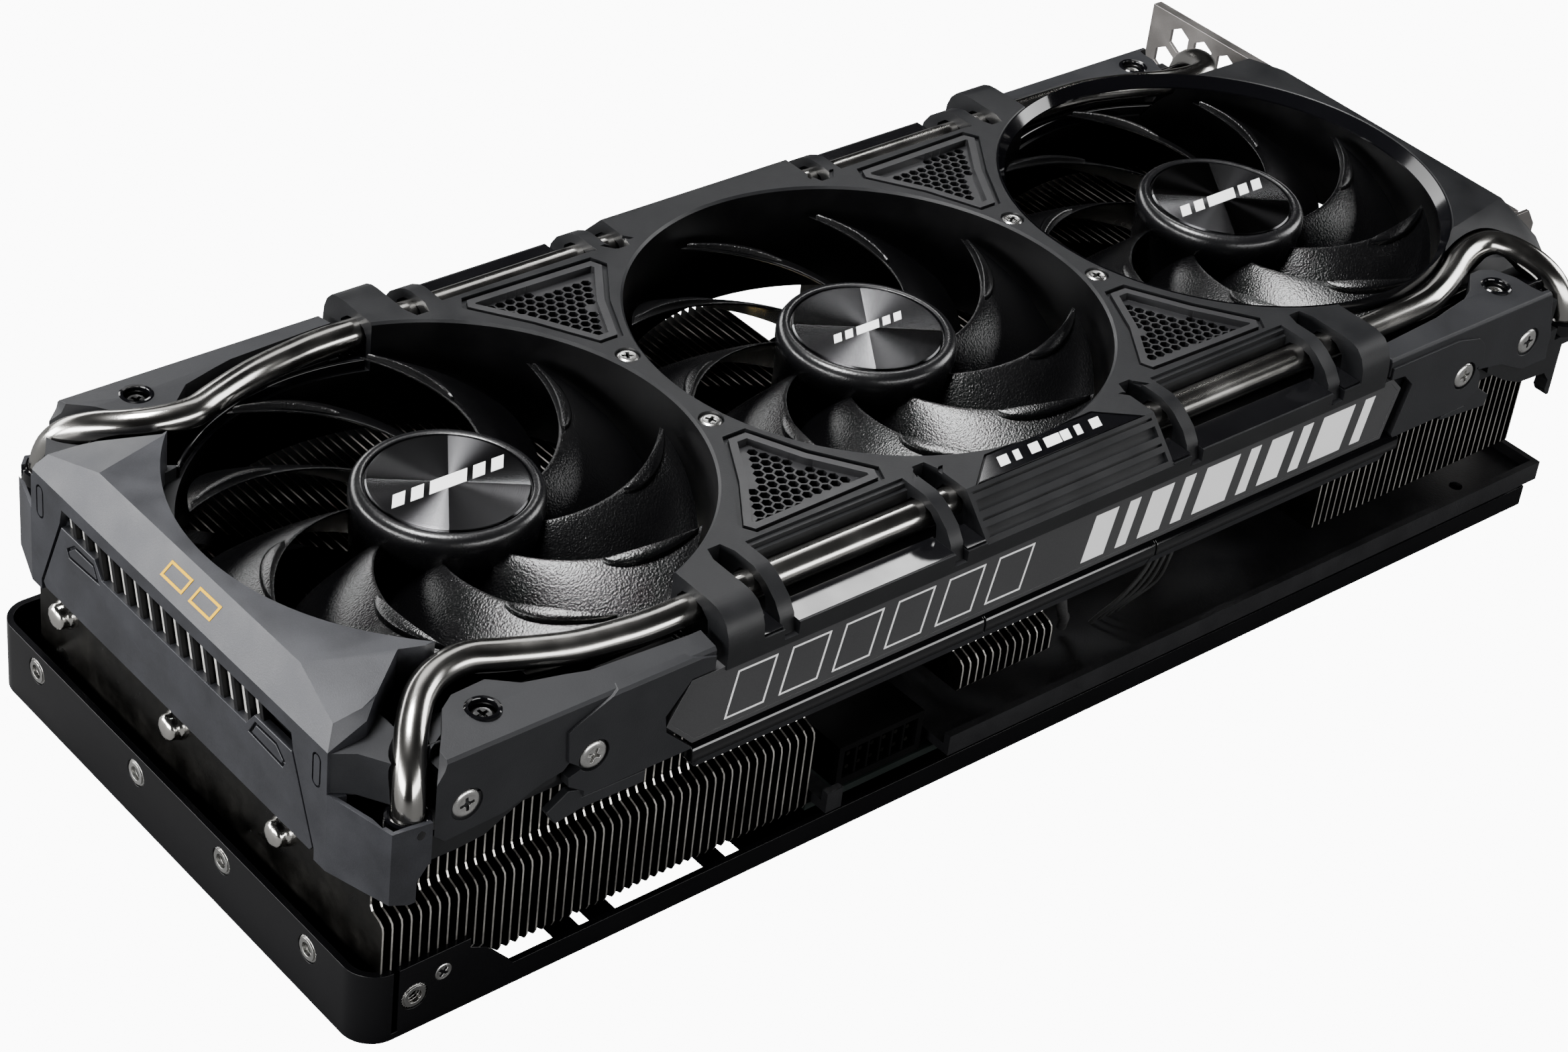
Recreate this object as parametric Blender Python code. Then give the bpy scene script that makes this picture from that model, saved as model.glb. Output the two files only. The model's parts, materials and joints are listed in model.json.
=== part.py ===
"""Triple-fan graphics card, built from named sub-components in metres, +Z up.

The card lies on its backplate with the fans facing up.  Sizes below are in
millimetres on the card's own datum: X runs from the tail to the slot bracket,
Y from the logo side to the slot edge, Z up from the underside of the
backplate, and the middle fan's axis is at X = 0, Y = 0.
"""
import math

import bmesh
import bpy
from mathutils import Matrix, Vector

MM = 0.001
BOX_CENTRE_X = 6.1           # middle of the finished card along X
BOX_CENTRE_Y = 8.55          # middle of the finished card along Y
GAP = 0.3                    # clearance left between neighbouring pieces

# fans
FAN_PITCH = 103.9
FAN_AXES = (-FAN_PITCH, 0.0, FAN_PITCH)
FAN_OPENING_R = 50.0
TAIL_OPENING_R = 52.6
BLADE_COUNT = 9
BLADE_STARTS = (31.3, 19.3, 4.5)    # angle where a blade's leading edge leaves each hub
BLADE_TIP_R = 48.0
BLADE_ROOT_R = 17.6
BLADE_THICKNESS = 1.2
BLADE_SWEEP = 44.0           # how far the leading edge runs round from root to tip
BLADE_CHORD_ROOT = 33.0
BLADE_CHORD_TIP = 37.0
BLADE_LEAD_Z = 62.6
BLADE_DROP_ROOT = 13.0
BLADE_DROP_TIP = 10.5
HUB_R = 18.6
HUB_TOP_Z = 66.9
HUB_BOTTOM_Z = 48.4
HUB_WALL = 1.5
HUB_DISC_R = 15.6
HUB_DISC_TOP_Z = 67.5
SHAFT_R = 1.5
SHAFT_BORE_R = 1.58
SHAFT_SEGMENTS = 16
SHAFT_BOTTOM_Z = 47.6
MOUNT_R = 17.0
MOUNT_Z = (45.4, 47.0)
MOUNT_TUBE_R = 4.0
MOUNT_TUBE_TOP_Z = 60.0
STRUT_COUNT = 4
STRUT_WIDTH = 4.0
CORE_R = (4.4, 14.0)
CORE_Z = (49.2, 59.0)

# shroud
DECK_Z = 71.0
DECK_HALF_LENGTH = 88.6
DECK_HALF_WIDTH = 64.4
FRAME_Z = (46.4, 60.0)
FRAME_X = (-150.6, 159.0)
FRAME_HALF_WIDTH = 61.4
WINDOW_INNER_Y = 49.0
TROUGH_OUTER_Y = 56.6
TROUGH_FLOOR_Z = 62.0
LEDGE_Z = 63.6
WINDOWS = ((25.2, 30.2), (33.3, 71.8), (75.2, 80.2))
BRIDGE_SCREWS = ((-51.95, 13.0), (-51.95, -13.0), (51.95, 13.0), (51.95, -13.0))
RAIL_R = 3.0
RAIL_CLEAR_R = 3.4
RAIL_Y = 53.0
RAIL_Z = 66.0

# heat sink
PIPE_R = 3.2
PIPE_CLEAR_R = 3.7
PIPE_Z = 28.0
PIPE_Y = (-28.0, 7.5, 47.0)
PIPE_X = (-160.0, 142.0)
FIN_THICKNESS = 1.3
FIN_TOP_Z = 45.0
TAIL_STACK_X = (-156.0, -57.8)
TAIL_STACK_Y = (-57.4, 58.0)
TAIL_STACK_Z = 7.6
MIDDLE_STACK_X = (-55.0, 80.4)
MIDDLE_STACK_Y = (-36.0, 52.0)
LOBE_X = (-19.4, 6.2)
LOBE_Y = (-57.8, -36.4)
BRACKET_STACK_X = (83.6, 149.2)
BRACKET_STACK_Y = (-57.8, 54.0)
STACK_Z = 20.4
STACK_FLOOR = 0.8

# plates and board
TRAY_X = (-161.0, 159.5)
TRAY_Y = (-59.3, 68.8)
TRAY_FLOOR = 1.6
TRAY_WALL = 1.4
TRAY_FLANGE_Z = 16.2
TRAY_LIP_Z = 5.2
TRAY_CORNER_R = 6.5
TAIL_SEATS_Y = (-41.6, -13.4, 16.2, 52.6)
TAIL_SEAT_Z = 11.6
FRONT_SEAT_X = -149.9
FRONT_SEAT_Z = 8.4
SEAT_R = 2.5
INSERT_R = 2.3
THREAD_R = 1.3
VENT_COLUMNS = ((-131.0, -114.0), (-111.0, -105.5), (-102.5, -78.5), (-75.5, -69.5))
VENT_ROWS = ((-55.5, -12.0), (-6.0, 46.0))
BOARD_X = (-57.0, 160.0)
BOARD_Y = (-57.5, 64.6)
BOARD_Z = (7.0, 8.6)
FINGER_X = (30.0, 119.0)
FINGER_Y = 73.3
FINGER_NOTCH = (104.0, 106.0)
MID_FRAME_X = (-56.0, 158.6)
MID_FRAME_Y = (-62.2, 60.0)
MID_FRAME_Z = (9.2, 11.4)
MID_FRAME_RIM_Z = 14.0

# slot bracket
BRACKET_X = (165.6, 166.5)
BRACKET_Y = (-33.3, 81.5)
BRACKET_Z = (2.6, 62.5)
BRACKET_FLANGE_X = 168.2
BRACKET_TAB_X = 175.4
PORT_CENTRES_Y = (-12.0, 8.5, 29.0, 49.5)
PORT_Z = (9.7, 15.5)
PORT_WIDTH = 16.0
PORT_WALL = 0.6


def clear_scene():
    for item in list(bpy.data.objects):
        bpy.data.objects.remove(item, do_unlink=True)


def place(x, y, z):
    return Vector(((x - BOX_CENTRE_X) * MM, (y - BOX_CENTRE_Y) * MM, z * MM))


def material(name, colour, metallic, roughness):
    found = bpy.data.materials.get(name)
    if found:
        return found
    made = bpy.data.materials.new(name)
    made.use_nodes = True
    shader = made.node_tree.nodes["Principled BSDF"]
    shader.inputs["Base Color"].default_value = (*colour, 1.0)
    shader.inputs["Metallic"].default_value = metallic
    shader.inputs["Roughness"].default_value = roughness
    return made


SHROUD_BLACK = ("shroud_plastic", (0.03, 0.031, 0.034), 0.0, 0.5)
CAP_GREY = ("cap_paint", (0.09, 0.095, 0.11), 0.1, 0.45)
PANEL_BLACK = ("panel_plastic", (0.025, 0.026, 0.029), 0.0, 0.5)
PLATE_GREY = ("plate_metal", (0.10, 0.10, 0.105), 0.8, 0.4)
GLOSS_BLACK = ("gloss_plastic", (0.008, 0.008, 0.01), 0.0, 0.1)
FAN_BLACK = ("fan_plastic", (0.015, 0.015, 0.016), 0.0, 0.35)
DISC_METAL = ("disc_metal", (0.06, 0.06, 0.065), 0.9, 0.35)
RAIL_NICKEL = ("rail_nickel", (0.22, 0.215, 0.21), 1.0, 0.12)
FIN_METAL = ("fin_metal", (0.06, 0.058, 0.055), 0.9, 0.35)
PIPE_NICKEL = ("pipe_nickel", (0.7, 0.68, 0.64), 1.0, 0.2)
TRAY_BLACK = ("tray_paint", (0.012, 0.012, 0.014), 0.3, 0.35)
FRAME_BLACK = ("frame_casting", (0.014, 0.014, 0.016), 0.3, 0.5)
BOARD_BLACK = ("board_laminate", (0.012, 0.016, 0.014), 0.0, 0.4)
CHIP_GREY = ("chip_package", (0.08, 0.09, 0.08), 0.0, 0.4)
PLATE_NICKEL = ("cold_plate_nickel", (0.6, 0.58, 0.55), 1.0, 0.25)
CONNECTOR_BLACK = ("connector_plastic", (0.01, 0.01, 0.01), 0.0, 0.4)
BRACKET_STEEL = ("bracket_steel", (0.3, 0.29, 0.28), 1.0, 0.38)
PORT_STEEL = ("port_steel", (0.5, 0.5, 0.5), 1.0, 0.3)
SCREW_STEEL = ("screw_steel", (0.5, 0.5, 0.49), 1.0, 0.25)
MESH_BLACK = ("mesh_plastic", (0.03, 0.03, 0.032), 0.0, 0.5)
CORE_COPPER = ("motor_core", (0.45, 0.2, 0.1), 0.9, 0.4)
LEAD_BLACK = ("lead_sleeve", (0.012, 0.012, 0.012), 0.0, 0.6)


def finish(mesh, name, look):
    bm = bmesh.new()
    bm.from_mesh(mesh)
    bmesh.ops.recalc_face_normals(bm, faces=bm.faces)
    bm.to_mesh(mesh)
    bm.free()
    made = bpy.data.objects.new(name, mesh)
    bpy.context.collection.objects.link(made)
    made.data.materials.clear()
    made.data.materials.append(material(*look))
    return made


def solid(name, points, faces, look):
    mesh = bpy.data.meshes.new(name)
    mesh.from_pydata([place(*p) for p in points], [], faces)
    return finish(mesh, name, look)


def prism(name, outline, axis, low, high, look):
    """Extrude a closed outline along one axis.

    The outline holds (x, y) pairs for axis z, (y, z) pairs for axis x and
    (x, z) pairs for axis y.
    """
    def point(pair, level):
        if axis == "z":
            return (pair[0], pair[1], level)
        if axis == "x":
            return (level, pair[0], pair[1])
        return (pair[0], level, pair[1])
    count = len(outline)
    points = [point(pair, low) for pair in outline] + [point(pair, high) for pair in outline]
    faces = [tuple(range(count)), tuple(range(2 * count - 1, count - 1, -1))]
    for i in range(count):
        j = (i + 1) % count
        faces.append((i, j, j + count, i + count))
    return solid(name, points, faces, look)


def block(name, xs, ys, zs, look):
    outline = [(xs[0], ys[0]), (xs[1], ys[0]), (xs[1], ys[1]), (xs[0], ys[1])]
    return prism(name, outline, "z", zs[0], zs[1], look)


def circle(cx, cy, radius, segments, start=0.0):
    step = 2.0 * math.pi / segments
    return [(cx + radius * math.cos(start + step * i), cy + radius * math.sin(start + step * i))
            for i in range(segments)]


def boolean(target, tools, operation):
    """Apply exact booleans and leave one plain mesh behind."""
    for tool in tools:
        step = target.modifiers.new("step", "BOOLEAN")
        step.operation = operation
        step.solver = "EXACT"
        step.object = tool
        graph = bpy.context.evaluated_depsgraph_get()
        baked = bpy.data.meshes.new_from_object(target.evaluated_get(graph))
        target.modifiers.clear()
        look = target.data.materials[0]
        target.data = baked
        target.data.materials.clear()
        target.data.materials.append(look)
        for face in target.data.polygons:
            face.material_index = 0
        bpy.data.objects.remove(tool, do_unlink=True)
    return target


def cut(target, tools):
    return boolean(target, tools, "DIFFERENCE")


def add(target, tools):
    return boolean(target, tools, "UNION")


def revolve(name, cx, cy, profile, segments, look):
    """Turn a closed (radius, z) profile about a vertical axis; radius 0 points are poles."""
    points, rings = [], []
    for radius, z in profile:
        if radius == 0.0:
            rings.append([len(points)] * segments)
            points.append((cx, cy, z))
        else:
            rings.append(list(range(len(points), len(points) + segments)))
            points.extend((x, y, z) for x, y in circle(cx, cy, radius, segments))
    faces = []
    for k in range(len(profile)):
        lower, upper = rings[k], rings[(k + 1) % len(profile)]
        if lower[0] == lower[1] and upper[0] == upper[1]:
            continue
        for i in range(segments):
            j = (i + 1) % segments
            corner = [lower[i], lower[j], upper[j], upper[i]]
            face = list(dict.fromkeys(corner))
            if len(face) > 2:
                faces.append(tuple(face))
    return solid(name, points, faces, look)


def tube(name, path, radius, segments, look):
    """Sweep a circle along a smooth centre line given as points."""
    centres = [Vector(p) for p in path]
    points, faces = [], []
    side = None
    for k, centre in enumerate(centres):
        before = centres[max(k - 1, 0)]
        after = centres[min(k + 1, len(centres) - 1)]
        along = (after - before).normalized()
        if side is None:
            side = along.cross(Vector((0.3, 0.1, 1.0))).normalized()
        side = (side - along * side.dot(along)).normalized()
        other = along.cross(side)
        for i in range(segments):
            turn = 2.0 * math.pi * i / segments
            spot = centre + side * (radius * math.cos(turn)) + other * (radius * math.sin(turn))
            points.append(tuple(spot))
    for k in range(len(centres) - 1):
        for i in range(segments):
            j = (i + 1) % segments
            faces.append((k * segments + i, k * segments + j,
                          (k + 1) * segments + j, (k + 1) * segments + i))
    last = (len(centres) - 1) * segments
    faces.append(tuple(range(segments)))
    faces.append(tuple(last + i for i in range(segments)))
    return solid(name, points, faces, look)


def smooth_path(knots, steps):
    """Catmull-Rom curve through the knots."""
    knots = [Vector(k) for k in knots]
    padded = [knots[0] * 2 - knots[1]] + knots + [knots[-1] * 2 - knots[-2]]
    path = []
    for k in range(1, len(padded) - 2):
        a, b, c, d = padded[k - 1:k + 3]
        for i in range(steps):
            t = i / steps
            path.append(0.5 * (2 * b + (c - a) * t + (2 * a - 5 * b + 4 * c - d) * t * t
                               + (3 * b - a - 3 * c + d) * t ** 3))
    path.append(knots[-1])
    return path


def centre_origin(item, spot=None):
    """Give an object its own origin: its middle, or the spot that it turns about."""
    corners = [Vector(corner) for corner in item.bound_box]
    spot = spot or sum(corners, Vector()) / len(corners)
    item.data.transform(Matrix.Translation(-spot))
    item.location = spot


# ---------------------------------------------------------------- fans

def blade_point(cx, start, u, v, lift):
    """Middle surface of a blade: u runs root to tip, v leading to trailing edge."""
    radius = BLADE_ROOT_R + (BLADE_TIP_R - BLADE_ROOT_R) * u
    chord = BLADE_CHORD_ROOT + (BLADE_CHORD_TIP - BLADE_CHORD_ROOT) * u
    drop = BLADE_DROP_ROOT + (BLADE_DROP_TIP - BLADE_DROP_ROOT) * u
    angle = math.radians(start + BLADE_SWEEP * u - chord * v)
    z = BLADE_LEAD_Z - drop * v ** 0.9 + lift
    return (cx + radius * math.cos(angle), radius * math.sin(angle), z)


def blade(name, cx, start):
    columns, rows = 5, 3
    points, faces = [], []
    for lift in (BLADE_THICKNESS / 2, -BLADE_THICKNESS / 2):
        for i in range(columns):
            for j in range(rows):
                points.append(blade_point(cx, start, i / (columns - 1), j / (rows - 1), lift))
    half = columns * rows
    for i in range(columns - 1):
        for j in range(rows - 1):
            a, b = i * rows + j, (i + 1) * rows + j
            faces.append((a, b, b + 1, a + 1))
            faces.append((half + a + 1, half + b + 1, half + b, half + a))
    rim = ([i * rows for i in range(columns)]
           + [(columns - 1) * rows + j for j in range(1, rows)]
           + [i * rows + rows - 1 for i in range(columns - 2, -1, -1)]
           + [j for j in range(rows - 2, 0, -1)])
    for k in range(len(rim)):
        a, b = rim[k], rim[(k + 1) % len(rim)]
        faces.append((a, half + a, half + b, b))
    return solid(name, points, faces, FAN_BLACK)


def build_rotor(index, cx):
    profile = [(0.0, HUB_TOP_Z), (HUB_DISC_R + GAP, HUB_TOP_Z), (HUB_DISC_R + 0.8, HUB_DISC_TOP_Z),
               (HUB_R - 1.2, HUB_DISC_TOP_Z - 0.1), (HUB_R, HUB_TOP_Z - 1.4), (HUB_R, HUB_BOTTOM_Z),
               (HUB_R - HUB_WALL, HUB_BOTTOM_Z), (HUB_R - HUB_WALL, HUB_TOP_Z - 2.0),
               (3.2, HUB_TOP_Z - 2.0), (3.2, MOUNT_TUBE_TOP_Z + 0.8), (SHAFT_R, MOUNT_TUBE_TOP_Z + 0.8),
               (SHAFT_R, SHAFT_BOTTOM_Z), (0.0, SHAFT_BOTTOM_Z)]
    rotor = revolve(f"rotor_{index}", cx, 0.0, profile, SHAFT_SEGMENTS * 2, FAN_BLACK)
    step = 360.0 / BLADE_COUNT
    blades = [blade("blade", cx, BLADE_STARTS[index - 1] + step * k) for k in range(BLADE_COUNT)]
    add(rotor, blades)
    disc = revolve(f"hub_disc_{index}", cx, 0.0,
                   [(0.0, HUB_DISC_TOP_Z + 0.2), (HUB_DISC_R - 0.4, HUB_DISC_TOP_Z + 0.2),
                    (HUB_DISC_R, HUB_DISC_TOP_Z), (HUB_DISC_R, HUB_TOP_Z + 0.05),
                    (0.0, HUB_TOP_Z + 0.05)], 32, DISC_METAL)
    axis = place(cx, 0.0, HUB_BOTTOM_Z)
    centre_origin(rotor, axis)
    centre_origin(disc, axis)
    disc.parent = rotor
    disc.location = (0.0, 0.0, 0.0)


def build_fan_mount(index, cx):
    profile = [(SHAFT_BORE_R, MOUNT_Z[0]), (MOUNT_R, MOUNT_Z[0]), (MOUNT_R, MOUNT_Z[1]),
               (MOUNT_TUBE_R, MOUNT_Z[1]), (MOUNT_TUBE_R, MOUNT_TUBE_TOP_Z),
               (SHAFT_BORE_R, MOUNT_TUBE_TOP_Z)]
    mount = revolve(f"fan_mount_{index}", cx, 0.0, profile, SHAFT_SEGMENTS, FAN_BLACK)
    reach = FAN_OPENING_R - 0.6
    struts = []
    for k in range(STRUT_COUNT):
        turn = Matrix.Rotation(math.radians(45.0 + 90.0 * k), 2)
        corners = [(MOUNT_R - 3.0, -STRUT_WIDTH / 2), (reach, -STRUT_WIDTH / 2),
                   (reach, STRUT_WIDTH / 2), (MOUNT_R - 3.0, STRUT_WIDTH / 2)]
        outline = [(cx + (turn @ Vector(c)).x, (turn @ Vector(c)).y) for c in corners]
        struts.append(prism("strut", outline, "z", MOUNT_Z[0] + 0.1, MOUNT_Z[1] - 0.1, FAN_BLACK))
    add(mount, struts)
    ring = [(CORE_R[0], CORE_Z[0]), (CORE_R[1], CORE_Z[0]), (CORE_R[1], CORE_Z[1]),
            (CORE_R[0], CORE_Z[1])]
    revolve(f"motor_core_{index}", cx, 0.0, ring, 16, CORE_COPPER)


# ---------------------------------------------------------------- shroud

def deck_profile():
    w = DECK_HALF_WIDTH
    half = [(w, FRAME_Z[1] - 0.5), (w, 66.0), (w - 1.6, 69.4), (w - 4.0, 70.6), (w - 6.8, DECK_Z)]
    return half + [(-y, z) for y, z in reversed(half)]


def insert_outline(sx, sy, grow):
    """Three-sided pocket between two fans with clipped corners."""
    spots = [(70.0, 43.6), (67.5, 46.0), (36.0, 45.6), (33.0, 43.0), (47.5, 24.5), (56.8, 24.5)]
    middle_x = sum(p[0] for p in spots) / len(spots)
    middle_y = sum(p[1] for p in spots) / len(spots)
    outline = []
    for x, y in spots:
        away = Vector((x - middle_x, y - middle_y))
        away = away * (1.0 + grow / away.length)
        outline.append((sx * (middle_x + away.x), sy * (middle_y + away.y)))
    return outline


def badge_outline(grow):
    """Long trapezium between the middle fan and the front edge."""
    near, far = -56.4 - grow, -51.2 + grow
    near_half, far_half = 21.4 + 2 * grow, 14.6 + 2 * grow
    return [(-near_half, near), (near_half, near), (far_half, far), (-far_half, far)]


def build_shroud():
    shroud = prism("shroud", deck_profile(), "x", -DECK_HALF_LENGTH, DECK_HALF_LENGTH, SHROUD_BLACK)
    frame = block("frame", FRAME_X, (-FRAME_HALF_WIDTH, FRAME_HALF_WIDTH), FRAME_Z, SHROUD_BLACK)
    end_rise = prism("end_rise", [(DECK_HALF_LENGTH - 2.0, 58.0), (162.0, 58.0), (160.5, 60.0),
                                  (155.0, DECK_Z), (DECK_HALF_LENGTH - 2.0, DECK_Z)],
                     "y", -40.0, 40.0, SHROUD_BLACK)
    add(shroud, [frame, end_rise])
    bores = [prism("bore", circle(cx, 0.0, FAN_OPENING_R, 48), "z", FRAME_Z[0] - 5.0, DECK_Z + 5.0,
                   SHROUD_BLACK) for cx in FAN_AXES]
    cutters = list(bores)
    for side in (-1.0, 1.0):
        for low, high in WINDOWS:
            for flip in (-1.0, 1.0):
                xs = sorted((flip * low, flip * high))
                trough = sorted((side * WINDOW_INNER_Y, side * TROUGH_OUTER_Y))
                shelf = sorted((side * (TROUGH_OUTER_Y - 1.0), side * (DECK_HALF_WIDTH + 3.0)))
                cutters.append(block("trough", xs, trough, (TROUGH_FLOOR_Z, DECK_Z + 3.0), SHROUD_BLACK))
                cutters.append(block("shelf", xs, shelf, (LEDGE_Z, DECK_Z + 3.0), SHROUD_BLACK))
        for xs in ((-156.0, -147.8), (148.9, 165.0)):
            cutters.append(block("leg_well", xs, sorted((side * 52.6, side * 66.0)), (50.6, 80.0),
                                 SHROUD_BLACK))
        cutters.append(prism("rail_way", circle(side * RAIL_Y, RAIL_Z, RAIL_CLEAR_R, 16), "x",
                             -DECK_HALF_LENGTH - 2.0, DECK_HALF_LENGTH + 2.0, SHROUD_BLACK))
    for x, y in BRIDGE_SCREWS:
        cutters.append(prism("screw_seat", circle(x, y, 2.6, 16), "z", DECK_Z - 1.0, DECK_Z + 3.0,
                             SHROUD_BLACK))
    cutters.append(prism("badge_seat", badge_outline(0.3), "z", DECK_Z - 0.6, DECK_Z + 3.0, SHROUD_BLACK))
    for sx in (-1.0, 1.0):
        for sy in (-1.0, 1.0):
            cutters.append(prism("pocket", insert_outline(sx, sy, 1.2), "z", DECK_Z - 2.6,
                                 DECK_Z + 3.0, SHROUD_BLACK))
            cutters.append(prism("air_way", insert_outline(sx, sy, -4.0), "z", FRAME_Z[0] - 2.0,
                                 DECK_Z, SHROUD_BLACK))
    cut(shroud, cutters)
    return shroud


def build_mesh_inserts():
    index = 1
    for sx in (-1.0, 1.0):
        for sy in (-1.0, 1.0):
            insert = prism(f"mesh_insert_{index}", insert_outline(sx, sy, 0.8), "z",
                           DECK_Z - 2.3, DECK_Z - 0.4, MESH_BLACK)
            holes = []
            for x, y in ((50.0, 38.5), (57.5, 38.5), (42.5, 38.5), (53.0, 31.0)):
                holes.append(prism("hole", circle(sx * x, sy * y, 2.6, 6), "z",
                                   DECK_Z - 4.0, DECK_Z + 2.0, MESH_BLACK))
            cut(insert, holes)
            index += 1


def build_tail_cap():
    outline = [(-139.0, -41.0), (-145.4, -44.6), (-151.6, -51.4), (-151.6, -64.2), (-160.2, -64.2),
               (-163.2, -49.6), (-163.2, 49.6), (-160.2, 64.2), (-151.6, 64.2), (-151.6, 51.4),
               (-145.4, 44.6), (-139.0, 41.0), (-125.0, 20.0), (-125.0, -20.0)]
    cap = prism("tail_cap", outline, "z", 37.0, DECK_Z, CAP_GREY)
    cutters = [prism("fan_bore", circle(FAN_AXES[0], 0.0, TAIL_OPENING_R, 48), "z", 30.0, 80.0, CAP_GREY),
               block("inside", (-160.4, -100.0), (-61.6, 61.6), (30.0, FRAME_Z[1] + GAP), CAP_GREY)]
    slope = [(-170.0, 62.3), (-163.2, 62.3), (-159.0, DECK_Z), (-159.0, 80.0), (-170.0, 80.0)]
    cutters.append(prism("slope", slope, "y", -80.0, 80.0, CAP_GREY))
    for side in (-1.0, 1.0):
        wedge = [(side * 33.5, DECK_Z + 0.01), (side * 70.0, DECK_Z + 0.01), (side * 70.0, 50.2)]
        cutters.append(prism("shoulder", wedge, "x", -175.0, -130.0, CAP_GREY))
        cutters.append(block("leg_well", (-157.8, -149.0), sorted((side * 50.8, side * 66.0)),
                             (50.6, 80.0), CAP_GREY))
    cutters.append(block("vent", (-170.0, -155.0), (-36.0, 36.0), (52.5, 57.5), CAP_GREY))
    cut(cap, cutters)
    return cap


# ---------------------------------------------------------------- side trim

def build_side_trim():
    front, back = -64.4, -61.7
    corner = [(-150.8, 48.4), (-148.0, 47.6), (-140.0, 47.6), (-136.5, 49.8), (-129.5, 51.2),
              (-124.0, 51.4), (-124.0, 65.4), (-144.0, 65.0), (-150.8, 64.4)]
    prism("corner_panel_tail", corner, "y", front, back, PANEL_BLACK)
    clip = [(-123.6, 60.4), (-123.2, 47.2), (-124.9, 40.2), (-109.4, 42.3), (-101.6, 40.3),
            (-95.2, 40.3), (-95.2, 44.6), (-101.7, 51.6), (-96.4, 60.6), (-103.0, 64.6),
            (-119.0, 63.6)]
    prism("clip_panel_tail", clip, "y", front, back, PANEL_BLACK)
    plate = [(-101.2, 51.7), (-94.4, 45.1), (91.8, 45.1), (94.8, 57.0), (91.6, 59.1), (-96.1, 59.1)]
    prism("logo_plate", plate, "y", -64.0, back, PLATE_GREY)
    prism("light_bar_tail", [(-94.6, 40.4), (-22.2, 40.4), (-22.2, 44.2), (-94.6, 44.2)],
          "y", front, back, GLOSS_BLACK)
    prism("light_bar_middle", [(-21.9, 40.4), (25.0, 40.4), (25.0, 44.2), (-21.9, 44.2)],
          "y", front, back, GLOSS_BLACK)
    prism("light_bar_bracket", [(25.3, 40.4), (98.4, 40.4), (95.5, 44.2), (25.3, 44.2)],
          "y", front, back, GLOSS_BLACK)
    clip = [(98.9, 40.4), (113.9, 41.2), (122.8, 47.2), (122.8, 64.0), (103.0, 64.6), (95.2, 60.0),
            (98.6, 56.6), (95.4, 45.0)]
    prism("clip_panel_bracket", clip, "y", front, back, PANEL_BLACK)
    corner = [(123.2, 50.6), (129.3, 50.4), (139.5, 46.4), (146.8, 46.4), (148.4, 50.0),
              (146.0, 64.2), (142.7, 65.0), (123.2, 65.4)]
    prism("corner_panel_bracket", corner, "y", front, back, PANEL_BLACK)
    prism("name_badge", badge_outline(0.0), "z", DECK_Z - 0.5, DECK_Z, GLOSS_BLACK)


def rail_path(side):
    knots = [(-154.2, -60.0, 51.0), (-153.4, -59.0, 57.0), (-151.0, -55.6, 62.6), (-146.2, -50.0, 65.8),
             (-139.0, -45.6, 66.8), (-130.0, -44.6, 67.0), (-120.0, -47.6, 66.6), (-108.0, -51.4, 66.1),
             (-98.0, -52.9, RAIL_Z), (-88.0, -RAIL_Y, RAIL_Z), (-60.0, -RAIL_Y, RAIL_Z),
             (60.0, -RAIL_Y, RAIL_Z), (88.0, -RAIL_Y, RAIL_Z), (98.0, -52.9, RAIL_Z),
             (110.0, -52.4, 66.1), (122.0, -49.6, 66.4), (132.0, -45.6, 66.8), (141.0, -44.4, 66.8),
             (147.6, -48.2, 65.6), (151.6, -54.6, 62.4), (153.4, -58.6, 57.0), (153.8, -59.6, 51.0)]
    return smooth_path([(x, side * -y, z) for x, y, z in knots], 2)


def build_rails():
    tube("rail_front", rail_path(-1.0), RAIL_R, 10, RAIL_NICKEL)
    tube("rail_rear", rail_path(1.0), RAIL_R, 10, RAIL_NICKEL)


# ---------------------------------------------------------------- heat sink

def comb(name, xs, ys, bottom, pitch, look):
    """Fins side by side, joined by the folded floor under them."""
    count = int((xs[1] - xs[0] - FIN_THICKNESS) / pitch) + 1
    span = (xs[1] - xs[0] - FIN_THICKNESS) / (count - 1)
    floor = bottom + STACK_FLOOR
    outline = [(xs[0], bottom), (xs[1], bottom)]
    for k in range(count - 1, -1, -1):
        left = xs[0] + span * k
        right = left + FIN_THICKNESS
        if k != count - 1:
            outline.append((right, floor))
        outline.append((right, FIN_TOP_Z))
        outline.append((left, FIN_TOP_Z))
        if k != 0:
            outline.append((left, floor))
    return prism(name, outline, "y", ys[0], ys[1], look)


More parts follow.
